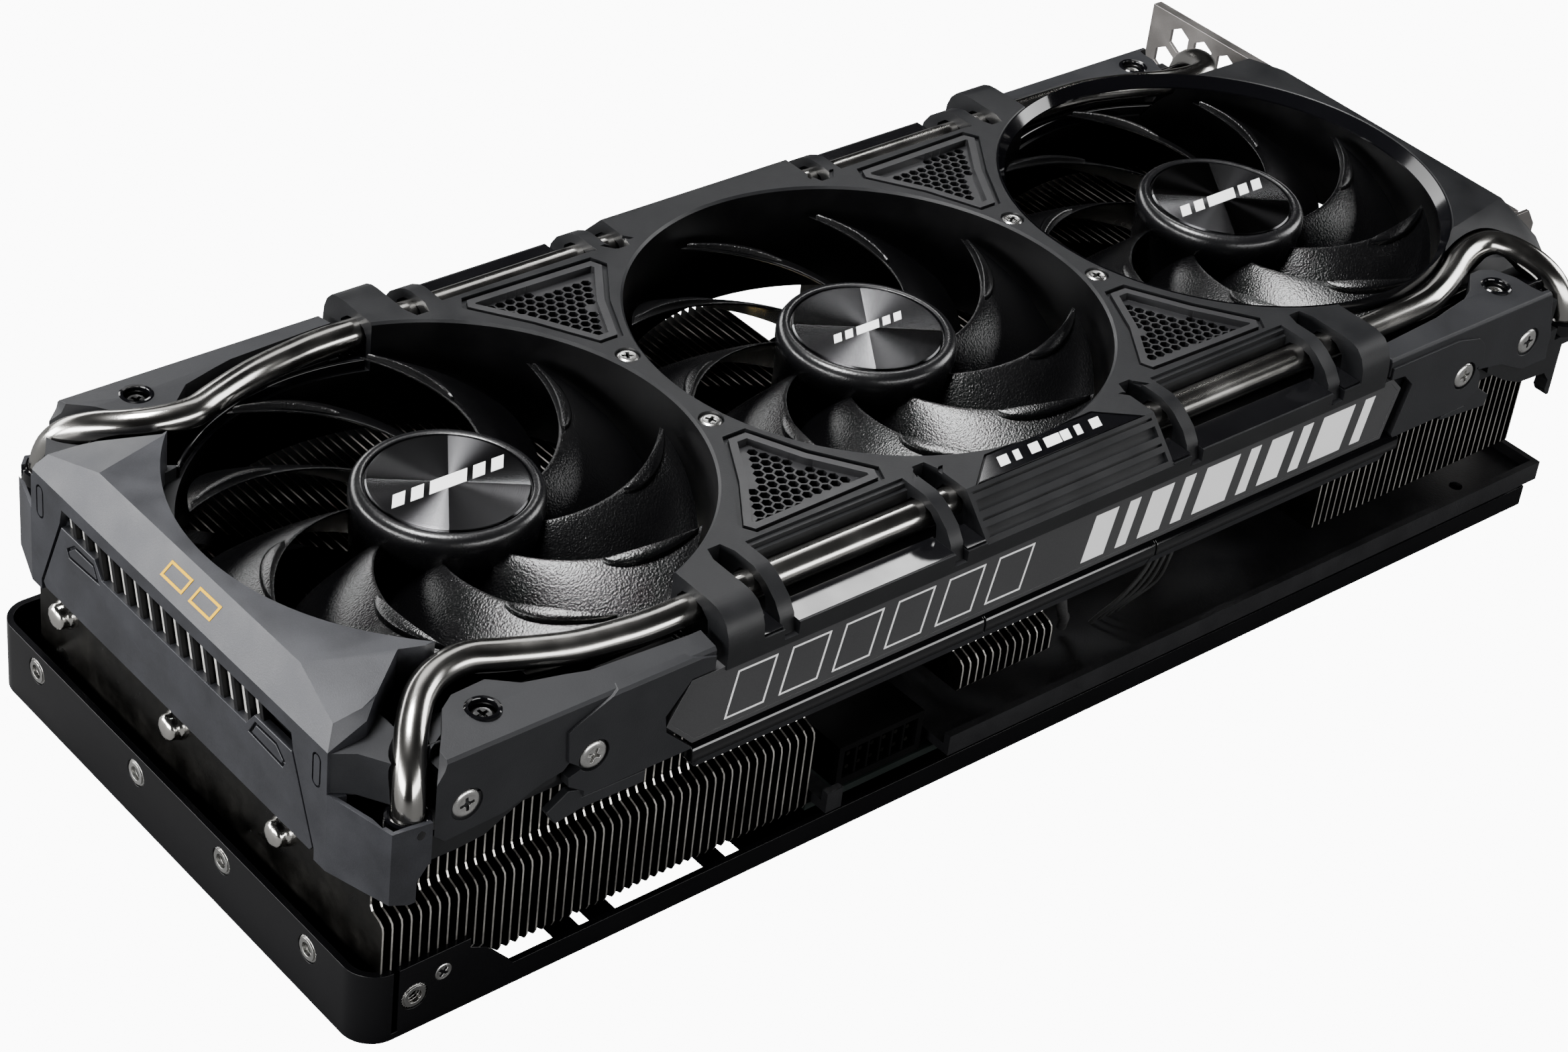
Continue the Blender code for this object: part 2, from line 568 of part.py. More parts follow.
def build_heat_sink():
    tail = comb("fin_stack_tail", TAIL_STACK_X, TAIL_STACK_Y, TAIL_STACK_Z, 8.0, FIN_METAL)
    middle = comb("fin_stack_middle", MIDDLE_STACK_X, MIDDLE_STACK_Y, STACK_Z, 12.0, FIN_METAL)
    bracket = comb("fin_stack_bracket", BRACKET_STACK_X, BRACKET_STACK_Y, STACK_Z, 8.0, FIN_METAL)
    comb("fin_stack_lobe", LOBE_X, LOBE_Y, STACK_Z, 3.9, FIN_METAL)
    for stack in (tail, middle, bracket):
        ways = [block("way", (-170.0, 160.0), (y - PIPE_CLEAR_R, y + PIPE_CLEAR_R),
                      (PIPE_Z - PIPE_CLEAR_R, PIPE_Z + PIPE_CLEAR_R), FIN_METAL) for y in PIPE_Y]
        cut(stack, ways)
    for index, y in enumerate(PIPE_Y, 1):
        pipe = [(x, y, PIPE_Z) for x in PIPE_X]
        tube(f"heat_pipe_{index}", pipe, PIPE_R, 12, PIPE_NICKEL)
    block("cold_plate", (8.0, 84.0), (-34.0, 42.0), (15.0, STACK_Z - GAP), PLATE_NICKEL)
    block("gpu_package", (30.0, 66.0), (-14.0, 22.0), (BOARD_Z[1] + 0.1, 14.7), CHIP_GREY)


# ---------------------------------------------------------------- plates and board

def tray_outline():
    x0, x1 = TRAY_X
    y0, y1 = TRAY_Y
    r = TRAY_CORNER_R
    outline = []
    for k in range(7):
        turn = math.pi + math.pi / 2 * k / 6
        outline.append((x0 + r + r * math.cos(turn), y0 + r + r * math.sin(turn)))
    outline += [(x1, y0), (x1, y1)]
    for k in range(7):
        turn = math.pi / 2 + math.pi / 2 * k / 6
        outline.append((x0 + r + r * math.cos(turn), y1 - r + r * math.sin(turn)))
    return outline


def build_backplate():
    tray = prism("backplate", tray_outline(), "z", 0.0, TRAY_FLANGE_Z, TRAY_BLACK)
    x0, x1 = TRAY_X
    y0, y1 = TRAY_Y
    w = TRAY_WALL
    r = TRAY_CORNER_R - w
    inner = []
    for k in range(7):
        turn = math.pi + math.pi / 2 * k / 6
        inner.append((x0 + w + r + r * math.cos(turn), y0 + w + r + r * math.sin(turn)))
    inner += [(x1 + 5.0, y0 + w), (x1 + 5.0, y1 - w)]
    for k in range(7):
        turn = math.pi / 2 + math.pi / 2 * k / 6
        inner.append((x0 + w + r + r * math.cos(turn), y1 - w - r + r * math.sin(turn)))
    cutters = [prism("hollow", inner, "z", TRAY_FLOOR, TRAY_FLANGE_Z + 5.0, TRAY_BLACK)]
    step = [(-137.0, TRAY_FLANGE_Z + 5.0), (-137.0, 14.0), (-134.0, 12.0), (-128.0, TRAY_LIP_Z),
            (x1 + 5.0, TRAY_LIP_Z), (x1 + 5.0, TRAY_FLANGE_Z + 5.0)]
    cutters.append(prism("step", step, "y", y0 - 5.0, y1 + 5.0, TRAY_BLACK))
    cutters.append(block("slit", (-154.6, -152.8), (y0 - 2.0, y0 + w + 0.5), (TRAY_FLOOR, 30.0), TRAY_BLACK))
    for low, high in VENT_COLUMNS:
        for near, far in VENT_ROWS:
            clip = 1.6
            hole = [(low + clip, near), (high - clip, near), (high, near + clip), (high, far - clip),
                    (high - clip, far), (low + clip, far), (low, far - clip), (low, near + clip)]
            cutters.append(prism("vent", hole, "z", -3.0, TRAY_FLOOR + 3.0, TRAY_BLACK))
    for y in TAIL_SEATS_Y:
        cutters.append(prism("insert_seat", circle(y, TAIL_SEAT_Z, SEAT_R, 16), "x", x0 - 3.0, x0 + 3.0,
                             TRAY_BLACK))
    cutters.append(prism("front_seat", circle(FRONT_SEAT_X, FRONT_SEAT_Z, SEAT_R, 16), "y", y0 - 3.0,
                         y0 + 3.0, TRAY_BLACK))
    cut(tray, cutters)
    return tray


def build_inserts():
    x0, y0 = TRAY_X[0], TRAY_Y[0]
    for index, y in enumerate(TAIL_SEATS_Y, 1):
        insert = prism(f"threaded_insert_{index}", circle(y, TAIL_SEAT_Z, INSERT_R, 16), "x", x0 + 0.1,
                       x0 + 4.0, SCREW_STEEL)
        cut(insert, [prism("thread", circle(y, TAIL_SEAT_Z, THREAD_R, 12), "x", x0 - 1.0, x0 + 6.0,
                           SCREW_STEEL)])
    seat = (FRONT_SEAT_X, FRONT_SEAT_Z)
    insert = prism("threaded_insert_5", circle(*seat, INSERT_R, 16), "y", y0 + 0.1, y0 + 1.7, SCREW_STEEL)
    cut(insert, [prism("thread", circle(*seat, THREAD_R, 12), "y", y0 - 1.0, y0 + 6.0, SCREW_STEEL)])


def build_board():
    x0, x1 = BOARD_X
    y0, y1 = BOARD_Y
    outline = [(x0, y0), (x1, y0), (x1, y1), (FINGER_X[1], y1), (FINGER_X[1], FINGER_Y),
               (FINGER_NOTCH[1], FINGER_Y), (FINGER_NOTCH[1], y1 + 1.0), (FINGER_NOTCH[0], y1 + 1.0),
               (FINGER_NOTCH[0], FINGER_Y), (FINGER_X[0], FINGER_Y), (FINGER_X[0], y1), (x0, y1)]
    prism("circuit_board", outline, "z", BOARD_Z[0], BOARD_Z[1], BOARD_BLACK)
    frame = block("mid_frame", MID_FRAME_X, MID_FRAME_Y, (MID_FRAME_Z[0], MID_FRAME_RIM_Z), FRAME_BLACK)
    x0, x1 = MID_FRAME_X
    y0, y1 = MID_FRAME_Y
    shelf = block("shelf", (x0 - 3.0, x1 - 1.6), (y0 + 1.6, y1 + 3.0), (MID_FRAME_Z[1], 30.0), FRAME_BLACK)
    window = block("window", (5.0, 86.0), (-37.0, 45.0), (0.0, 30.0), FRAME_BLACK)
    socket = block("socket", (-52.0, -24.0), (y0 - 3.0, -38.0), (0.0, 30.0), FRAME_BLACK)
    ports = block("ports", (140.0, x1 + 3.0), (-24.0, y1 + 3.0), (0.0, 30.0), FRAME_BLACK)
    hole = prism("hole", circle(137.1, -56.0, 1.6, 12), "z", 0.0, 30.0, FRAME_BLACK)
    cut(frame, [shelf, window, socket, ports, hole])
    plug = block("power_connector", (-49.0, -27.0), (-57.0, -44.0), (BOARD_Z[1] + 0.1, 18.6), CONNECTOR_BLACK)
    hollow = block("hollow", (-47.6, -28.4), (-60.0, -48.0), (10.4, 17.2), CONNECTOR_BLACK)
    cut(plug, [hollow])


def build_bracket():
    bracket = block("io_bracket", BRACKET_X, BRACKET_Y, BRACKET_Z, BRACKET_STEEL)
    flange = block("flange", (BRACKET_X[0] + 0.1, BRACKET_FLANGE_X), BRACKET_Y,
                   (BRACKET_Z[1] - 0.9, BRACKET_Z[1]), BRACKET_STEEL)
    tab = prism("tab", [(BRACKET_X[0] + 0.1, BRACKET_Z[0] + 2.0), (BRACKET_TAB_X, BRACKET_Z[0] + 2.0),
                        (BRACKET_TAB_X, 57.0), (172.4, 61.2), (BRACKET_X[0] + 0.1, 61.2)],
                "y", BRACKET_Y[0], BRACKET_Y[0] + 0.9, BRACKET_STEEL)
    add(bracket, [flange, tab])
    cutters = []
    for y in PORT_CENTRES_Y:
        cutters.append(block("port", (160.0, 170.0), (y - 8.4, y + 8.4), (PORT_Z[0] - 0.4, PORT_Z[1] + 0.4),
                             BRACKET_STEEL))
    for row in range(4):
        for column in range(8):
            y = -18.0 + column * 10.4 + (5.2 if row % 2 else 0.0)
            z = 25.4 + row * 9.0
            cutters.append(prism("hex", circle(y, z, 4.9, 6, math.pi / 6), "x", 160.0, 170.0, BRACKET_STEEL))
    cut(bracket, cutters)
    mouth_z = (PORT_Z[0] + PORT_WALL, PORT_Z[1] - PORT_WALL)
    for index, y in enumerate(PORT_CENTRES_Y, 1):
        half = PORT_WIDTH / 2
        shell = block(f"display_port_{index}", (148.0, BRACKET_X[1] + 0.6), (y - half, y + half), PORT_Z,
                      PORT_STEEL)
        half -= PORT_WALL
        mouth = block("mouth", (158.0, 180.0), (y - half, y + half), mouth_z, PORT_STEEL)
        cut(shell, [mouth])


# ---------------------------------------------------------------- fasteners and lead

def build_fasteners():
    low, high = DECK_Z - 0.9, DECK_Z
    for index, (x, y) in enumerate(BRIDGE_SCREWS, 1):
        head = revolve(f"bridge_screw_{index}", x, y,
                       [(0.0, low), (2.2, low), (2.2, high - 0.3), (1.6, high), (0.0, high)], 16, SCREW_STEEL)
        cut(head, [block("slot", (x - 1.1, x + 1.1), (y - 0.22, y + 0.22), (high - 0.5, high + 1.0),
                         SCREW_STEEL),
                   block("slot", (x - 0.22, x + 0.22), (y - 1.1, y + 1.1), (high - 0.5, high + 1.0),
                         SCREW_STEEL)])


def build_lead():
    knots = [(8.4, -55.0, 38.0), (9.2, -56.0, 30.0), (13.0, -54.0, 23.0), (18.0, -50.0, 19.0),
             (20.0, -48.0, 14.4)]
    tube("fan_lead", smooth_path(knots, 3), 1.1, 8, LEAD_BLACK)


def main():
    clear_scene()
    build_backplate()
    build_inserts()
    build_board()
    build_heat_sink()
    build_shroud()
    build_mesh_inserts()
    build_tail_cap()
    build_side_trim()
    build_rails()
    build_bracket()
    build_fasteners()
    build_lead()
    for index, cx in enumerate(FAN_AXES, 1):
        build_fan_mount(index, cx)
    for item in bpy.context.scene.objects:
        centre_origin(item)
    for index, cx in enumerate(FAN_AXES, 1):
        build_rotor(index, cx)


main()
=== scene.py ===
"""Looks of the triple-fan graphics card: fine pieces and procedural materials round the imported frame.

Sizes are millimetres on the card's own datum, worked out from the frame: X runs from the tail to the
slot bracket, Y from the logo side to the slot edge, Z up, with the middle fan's axis at X = 0, Y = 0.
"""
import json
import math
import random

import bmesh
import bpy
from mathutils import Matrix, Vector


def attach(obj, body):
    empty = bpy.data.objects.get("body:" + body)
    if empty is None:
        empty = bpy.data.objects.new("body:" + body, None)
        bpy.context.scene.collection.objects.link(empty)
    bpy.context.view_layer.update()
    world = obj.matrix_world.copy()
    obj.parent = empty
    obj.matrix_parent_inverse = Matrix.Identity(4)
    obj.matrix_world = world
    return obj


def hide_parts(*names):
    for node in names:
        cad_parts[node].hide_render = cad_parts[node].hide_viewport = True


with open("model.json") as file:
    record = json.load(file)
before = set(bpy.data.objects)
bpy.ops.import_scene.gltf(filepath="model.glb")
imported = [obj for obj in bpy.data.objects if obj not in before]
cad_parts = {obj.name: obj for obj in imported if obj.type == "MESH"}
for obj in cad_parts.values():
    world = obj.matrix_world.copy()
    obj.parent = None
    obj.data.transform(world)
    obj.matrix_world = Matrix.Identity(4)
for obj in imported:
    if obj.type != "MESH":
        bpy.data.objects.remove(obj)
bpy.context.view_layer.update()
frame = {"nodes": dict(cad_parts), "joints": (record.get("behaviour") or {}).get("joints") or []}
NODES = frame["nodes"]

# ---------------------------------------------------------------- driving sizes, mm

AXES = sorted((Vector(joint["pos_m"]) for joint in frame["joints"]), key=lambda spot: spot.x)
DATUM = Vector((AXES[1].x, AXES[1].y, 0.0))
PITCH = (AXES[2].x - AXES[0].x) / 2 * 1000.0
FANS = (-PITCH, 0.0, PITCH)
SIDES = (-1.0, 1.0)            # front then rear along Y, or tail then bracket along X
FAN_OPENING_R = 50.0
TAIL_OPENING_R = 52.6
DECK_Z = 71.0
DECK_X = 88.6
FRAME_Z = (46.4, 60.0)
FRAME_X = (-150.6, 159.0)
FRAME_Y = 61.4
ARCH_END = 80.2              # window edges along X, from the wide arch inwards
RIB_OUT = (71.8, 75.2)
RIB_IN = (30.2, 33.3)
SLOT_IN = 25.2
INNER_Y = 49.0
TROUGH_Y = 56.6
TROUGH_Z = 62.0
LEDGE_Z = 63.6
RAIL_R = 3.0
RAIL_Y = 53.0
RAIL_Z = 66.0
FIN_PITCH = 2.02
FIN_SHEET = 0.36
PIPE_R = 3.2
PIPE_Z = 28.0
PIPE_Y = (-28.0, 7.5, 47.0)


def at(x, y, z):
    """A point in the frame, from millimetres on the card's datum."""
    return DATUM + Vector((x, y, z)) * 0.001


# ---------------------------------------------------------------- materials

LOOKS = {}


def surface(name, colour, metallic, roughness, grain=0.35, bump=0.15, swing=0.12, rough_swing=0.06,
            smudge=9.0, **sockets):
    """Principled surface with fine grain, a slow cloudiness and matching relief.  grain is in mm."""
    if name in LOOKS:
        return LOOKS[name]
    made = bpy.data.materials.new(name)
    made.use_nodes = True
    nodes, links = made.node_tree.nodes, made.node_tree.links
    shader = nodes["Principled BSDF"]
    shader.inputs["Metallic"].default_value = metallic
    for socket, value in sockets.items():
        shader.inputs[socket.replace("_", " ")].default_value = value
    where = nodes.new("ShaderNodeTexCoord")
    fine = nodes.new("ShaderNodeTexNoise")
    fine.inputs["Scale"].default_value = 1000.0 / grain
    fine.inputs["Detail"].default_value = 3.0
    slow = nodes.new("ShaderNodeTexNoise")
    slow.inputs["Scale"].default_value = 1000.0 / smudge
    slow.inputs["Detail"].default_value = 4.0
    for noise in (fine, slow):
        links.new(where.outputs["Object"], noise.inputs["Vector"])
    mix = nodes.new("ShaderNodeMath")
    mix.operation = "ADD"
    links.new(fine.outputs["Fac"], mix.inputs[0])
    links.new(slow.outputs["Fac"], mix.inputs[1])
    tone = nodes.new("ShaderNodeMapRange")
    tone.inputs["From Min"].default_value = 0.7
    tone.inputs["From Max"].default_value = 1.3
    tone.inputs["To Min"].default_value = 1.0 - swing
    tone.inputs["To Max"].default_value = 1.0 + swing
    links.new(mix.outputs[0], tone.inputs["Value"])
    tint = nodes.new("ShaderNodeVectorMath")
    tint.operation = "SCALE"
    tint.inputs[0].default_value = colour
    links.new(tone.outputs["Result"], tint.inputs["Scale"])
    links.new(tint.outputs["Vector"], shader.inputs["Base Color"])
    rough = nodes.new("ShaderNodeMapRange")
    rough.inputs["From Min"].default_value = 0.3
    rough.inputs["From Max"].default_value = 0.7
    rough.inputs["To Min"].default_value = max(0.02, roughness - rough_swing)
    rough.inputs["To Max"].default_value = roughness + rough_swing
    links.new(slow.outputs["Fac"], rough.inputs["Value"])
    links.new(rough.outputs["Result"], shader.inputs["Roughness"])
    if bump:
        relief = nodes.new("ShaderNodeBump")
        relief.inputs["Strength"].default_value = bump
        relief.inputs["Distance"].default_value = grain * 0.0002
        links.new(fine.outputs["Fac"], relief.inputs["Height"])
        links.new(relief.outputs["Normal"], shader.inputs["Normal"])
    LOOKS[name] = made
    return made


def shroud_black():
    return surface("shroud_grain", (0.0036, 0.0038, 0.0045), 0.0, 0.43, grain=0.3, bump=0.3,
                   Specular_IOR_Level=0.3)


def panel_black():
    return surface("panel_grain", (0.0125, 0.0129, 0.0144), 0.0, 0.48, grain=0.3, bump=0.35,
                   Specular_IOR_Level=0.22)


def inner_black():
    return surface("inner_black", (0.0015, 0.0015, 0.0018), 0.0, 0.45, grain=0.5, bump=0.1,
                   Specular_IOR_Level=0.2)


def socket_black():
    return surface("socket_black", (0.0006, 0.0006, 0.0007), 0.0, 0.6, grain=0.5, bump=0.1,
                   Specular_IOR_Level=0.06)


def inner_grey():
    return surface("mesh_grain", (0.008, 0.008, 0.009), 0.0, 0.42, grain=0.3, bump=0.2)


def gloss_black():
    return surface("gloss_black", (0.002, 0.002, 0.0025), 0.0, 0.08, bump=0.0, rough_swing=0.03, smudge=22.0)


# Painted shade: a darker copy of the shroud plastic for the walls inside the fan openings.
def ring_painted_shade():
    return surface("ring_wall_painted_shade", (0.0010, 0.0010, 0.0012), 0.0, 0.34, grain=0.3, bump=0.15,
                   Specular_IOR_Level=0.2)


def ledge_polish():
    return surface("ledge_polish", (0.003, 0.003, 0.0035), 0.0, 0.13, bump=0.0, rough_swing=0.04, smudge=14.0)


def fan_black():
    return surface("fan_grain", (0.0012, 0.0012, 0.0014), 0.0, 0.24, grain=0.42, bump=1.2, rough_swing=0.02,
                   Specular_IOR_Level=0.42)


def hub_black():
    return surface("hub_satin", (0.004, 0.004, 0.0045), 0.0, 0.26, grain=0.5, bump=0.35)


def cap_grey():
    return surface("cap_fleck", (0.0175, 0.0182, 0.0218), 0.3, 0.42, grain=0.22, bump=0.35, swing=0.3)


def plate_grey():
    return surface("plate_satin", (0.055, 0.055, 0.057), 0.5, 0.38, grain=0.2, bump=0.08, smudge=30.0)


def rail_nickel():
    return surface("rail_nickel", (0.42, 0.41, 0.39), 1.0, 0.19, grain=0.2, bump=0.03, swing=0.05,
                   rough_swing=0.04)


# Near-black metal: on the fin faces it is painted shade between the close sheets.
def fin_dark():
    return surface("fin_face", (0.022, 0.021, 0.019), 1.0, 0.36, grain=2.5, bump=0.0, swing=0.35,
                   rough_swing=0.12)


def fin_edge():
    return surface("fin_edge", (0.62, 0.60, 0.56), 1.0, 0.36, grain=0.8, bump=0.1, swing=0.2)


def tab_metal():
    return surface("tab_metal", (0.72, 0.71, 0.68), 0.55, 0.5, grain=0.5, bump=0.1)


def pipe_bright():
    return surface("pipe_nickel", (0.78, 0.76, 0.72), 1.0, 0.16, grain=1.2, bump=0.35, swing=0.12)


def tray_black():
    return surface("tray_coat", (0.0018, 0.0018, 0.0022), 0.0, 0.18, grain=0.4, bump=0.12, smudge=26.0,
                   rough_swing=0.08, Specular_IOR_Level=0.25)


def casting_black():
    return surface("casting", (0.006, 0.006, 0.007), 0.2, 0.42, grain=0.5, bump=0.4)


def board_black():
    return surface("board_mask", (0.005, 0.008, 0.007), 0.0, 0.34, grain=0.6, bump=0.1)


def steel():
    return surface("screw_zinc", (0.55, 0.545, 0.53), 1.0, 0.27, grain=0.35, bump=0.25, swing=0.1)


def screw_dark():
    return surface("screw_black", (0.06, 0.06, 0.06), 1.0, 0.3, grain=0.35, bump=0.2)


def bracket_steel():
    return surface("bracket_plate", (0.30, 0.285, 0.275), 1.0, 0.36, grain=0.25, bump=0.12)


def white_mark():
    return surface("white_print", (0.80, 0.80, 0.80), 0.0, 0.45, grain=0.2, bump=0.03, swing=0.03)


def gold_mark():
    return surface("gold_print", (0.58, 0.33, 0.0), 0.0, 0.6, grain=0.2, bump=0.05, swing=0.06,
                   Specular_IOR_Level=0.06)


def gold_contact():
    return surface("contact_gold", (0.83, 0.60, 0.22), 1.0, 0.25, grain=0.5, bump=0.05)


def sleeve_black():
    return surface("woven_sleeve", (0.012, 0.012, 0.012), 0.0, 0.6, grain=0.7, bump=0.9)


# Angle of the painted highlight wedges round each disc.
PAINTED_HIGHLIGHT_TURN = math.radians(35.0)


def painted_cone_highlight(nodes, links, where):
    """Painted highlight: pairs of bright wedges painted into the base colour round the middle, each fading
    from one sharp edge; they turn with the disc.
    """
    def step(operation, first, second=None):
        node = nodes.new("ShaderNodeMath")
        node.operation = operation
        for place, value in zip(node.inputs, (first, second)):
            if isinstance(value, float):
                place.default_value = value
            elif value is not None:
                links.new(value, place)
        return node.outputs[0]

    split = nodes.new("ShaderNodeSeparateXYZ")
    links.new(where.outputs["Object"], split.inputs[0])
    angle = step("ARCTAN2", split.outputs["Y"], split.outputs["X"])
    wave = step("SINE", step("MULTIPLY", step("ADD", angle, PAINTED_HIGHLIGHT_TURN), 2.0))
    lit = step("GREATER_THAN", wave, 0.0)
    fade = step("POWER", step("SUBTRACT", 1.0, step("MAXIMUM", wave, 0.0)), 1.4)
    dim = step("MULTIPLY", step("MAXIMUM", step("MULTIPLY", wave, -1.0), 0.0), 0.12)
    level = step("ADD", step("MULTIPLY", lit, fade), dim)
    tone = nodes.new("ShaderNodeMixRGB")
    # Color1 is the dark metal, Color2 the painted highlight of the wedges.
    tone.inputs["Color1"].default_value = (0.016, 0.016, 0.017, 1.0)
    tone.inputs["Color2"].default_value = (0.30, 0.30, 0.31, 1.0)
    links.new(level, tone.inputs["Fac"])
    return tone.outputs["Color"]


def spun_metal():
    """Disc turned on a lathe: painted highlight wedges in its base colour fan out from its middle over a real
    anisotropic reflection, and fine rings catch the light.
    """
    if "spun_metal" in LOOKS:
        return LOOKS["spun_metal"]
    made = surface("spun_metal", (0.05, 0.05, 0.053), 1.0, 0.24, grain=0.6, bump=0.0, swing=0.0,
                   rough_swing=0.0, Anisotropic=0.97, Anisotropic_Rotation=0.25)
    nodes, links = made.node_tree.nodes, made.node_tree.links
    shader = nodes["Principled BSDF"]
    tangent = nodes.new("ShaderNodeTangent")
    tangent.direction_type = "RADIAL"
    tangent.axis = "Z"
    links.new(tangent.outputs["Tangent"], shader.inputs["Tangent"])
    where = nodes.new("ShaderNodeTexCoord")
    # The base colour carries the painted highlight wedges.
    links.new(painted_cone_highlight(nodes, links, where), shader.inputs["Base Color"])
    rings = nodes.new("ShaderNodeTexWave")
    rings.wave_type = "RINGS"
    rings.rings_direction = "Z"
    rings.inputs["Scale"].default_value = 700.0
    rings.inputs["Distortion"].default_value = 0.0
    relief = nodes.new("ShaderNodeBump")
    relief.inputs["Strength"].default_value = 0.12
    relief.inputs["Distance"].default_value = 0.00004
    links.new(where.outputs["Object"], rings.inputs["Vector"])
    links.new(rings.outputs["Fac"], relief.inputs["Height"])
    links.new(relief.outputs["Normal"], shader.inputs["Normal"])
    return made


# ---------------------------------------------------------------- mesh helpers

def make(name, points, faces, look, body="card", slot="shroud_plastic", bevel=0.0, angle=32.0, origin=None):
    """A finished piece from millimetre points: outward faces, soft edges, smooth where it is round."""
    mesh = bpy.data.meshes.new(name)
    mesh.from_pydata([at(*point) for point in points], [], faces)
    return dress(mesh, name, look, body, slot, bevel, angle, origin)


def dress(mesh, name, look, body="card", slot="shroud_plastic", bevel=0.0, angle=32.0, origin=None):
    bm = bmesh.new()
    bm.from_mesh(mesh)
    bmesh.ops.remove_doubles(bm, verts=bm.verts, dist=1e-6)
    bmesh.ops.recalc_face_normals(bm, faces=bm.faces)
    bm.to_mesh(mesh)
    bm.free()
    piece = bpy.data.objects.new(name, mesh)
    bpy.context.scene.collection.objects.link(piece)
    if origin is not None:
        mesh.transform(Matrix.Translation(-origin))
        piece.location = origin
    mesh.materials.append(look)
    mesh.shade_smooth()
    mesh.set_sharp_from_angle(angle=math.radians(angle))
    if bevel:
        soft = piece.modifiers.new("soft_edges", "BEVEL")
        soft.width = bevel * 0.001
        soft.segments = 2
        soft.limit_method = "ANGLE"
        soft.angle_limit = math.radians(angle)
        soft.harden_normals = True
        soft.use_clamp_overlap = True
    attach(piece, body)
    return piece


def plain(name, points, faces):
    """A bare working mesh for booleans."""
    mesh = bpy.data.meshes.new(name)
    mesh.from_pydata([at(*point) for point in points], [], faces)
    bm = bmesh.new()
    bm.from_mesh(mesh)
    bmesh.ops.recalc_face_normals(bm, faces=bm.faces)
    bm.to_mesh(mesh)
    bm.free()
    item = bpy.data.objects.new(name, mesh)
    bpy.context.scene.collection.objects.link(item)
    return item


def prism_data(outline, axis, low, high):
    """Points and faces of an outline extruded along an axis: (x, y) for z, (y, z) for x, (x, z) for y."""
    def spot(pair, level):
        return {"z": (pair[0], pair[1], level), "x": (level, pair[0], pair[1]),
                "y": (pair[0], level, pair[1])}[axis]
    count = len(outline)
    points = [spot(pair, low) for pair in outline] + [spot(pair, high) for pair in outline]
    faces = [tuple(range(count)), tuple(range(2 * count - 1, count - 1, -1))]
    faces += [(i, (i + 1) % count, (i + 1) % count + count, i + count) for i in range(count)]
    return points, faces


def prism(outline, axis, low, high):
    return plain("work", *prism_data(outline, axis, low, high))


def leaning(low, high, foot, head, lean):
    """A slanted bar's outline: its far edge is moved over by the lean."""
    return [(low, foot), (high, foot), (high + lean, head), (low + lean, head)]


def rectangle(xs, ys):
    return [(xs[0], ys[0]), (xs[1], ys[0]), (xs[1], ys[1]), (xs[0], ys[1])]


def block(xs, ys, zs):
    return prism(rectangle(xs, ys), "z", *zs)


def ring_points(cx, cy, radius, count, start=0.0):
    """Points round a whole circle."""
    return [(cx + radius * math.cos(math.radians(start + 360.0 * i / count)),
             cy + radius * math.sin(math.radians(start + 360.0 * i / count))) for i in range(count)]


def arc(cx, cy, radius, start, end, count):
    """Points along an arc, in degrees from start to end."""
    return [(cx + radius * math.cos(math.radians(start + (end - start) * i / (count - 1))),
             cy + radius * math.sin(math.radians(start + (end - start) * i / (count - 1))))
            for i in range(count)]


def offset(outline, distance):
    """An outline with every edge moved outwards by a distance."""
    count = len(outline)
    area = sum(outline[i][0] * outline[(i + 1) % count][1] - outline[(i + 1) % count][0] * outline[i][1]
               for i in range(count))
    sign = 1.0 if area > 0 else -1.0
    moved = []
    for i in range(count):
        before, here, after = (Vector(outline[k % count]) for k in (i - 1, i, i + 1))
        first, second = (here - before).normalized(), (after - here).normalized()
        normals = [Vector((sign * edge.y, -sign * edge.x)) for edge in (first, second)]
        push = (normals[0] + normals[1]) * (distance / (1.0 + normals[0].dot(normals[1])))
        moved.append((here.x + push.x, here.y + push.y))
    return moved


def flipped(outline, sx, sy=1.0):
    """An outline scaled by 1 or -1 along each axis, which mirrors it."""
    return [(sx * x, sy * y) for x, y in outline]


def across(side, near, far):
    """The Y span between two distances from the middle, on one side."""
    return sorted((side * near, side * far))


def inside(x, y, outline):
    """True where a point lies within an outline."""
    hit = False
    for (x0, y0), (x1, y1) in zip(outline, outline[1:] + outline[:1]):
        if (y0 > y) != (y1 > y) and x < x0 + (y - y0) * (x1 - x0) / (y1 - y0):
            hit = not hit
    return hit


def frustum(cx, cy, r_low, z_low, r_high, z_high, count=96):
    """A working cone or cylinder that stands upright."""
    low = [(x, y, z_low) for x, y in ring_points(cx, cy, r_low, count)]
    high = [(x, y, z_high) for x, y in ring_points(cx, cy, r_high, count)]
    faces = [tuple(range(count)), tuple(range(2 * count - 1, count - 1, -1))]
    faces += [(i, (i + 1) % count, (i + 1) % count + count, i + count) for i in range(count)]
    return plain("work", low + high, faces)


def combine(target, tools, operation):
    """Bake exact booleans into the target and drop the tools."""
    for tool in tools:
        step = target.modifiers.new("step", "BOOLEAN")
        step.operation = operation
        step.solver = "EXACT"
        step.object = tool
        baked = bpy.data.meshes.new_from_object(target.evaluated_get(bpy.context.evaluated_depsgraph_get()))
        target.modifiers.clear()
        old = target.data
        target.data = baked
        bpy.data.meshes.remove(old)
        tool_mesh = tool.data
        bpy.data.objects.remove(tool, do_unlink=True)
        bpy.data.meshes.remove(tool_mesh)
    return target


def cut(target, *tools):
    return combine(target, tools, "DIFFERENCE")


def add(target, *tools):
    return combine(target, tools, "UNION")


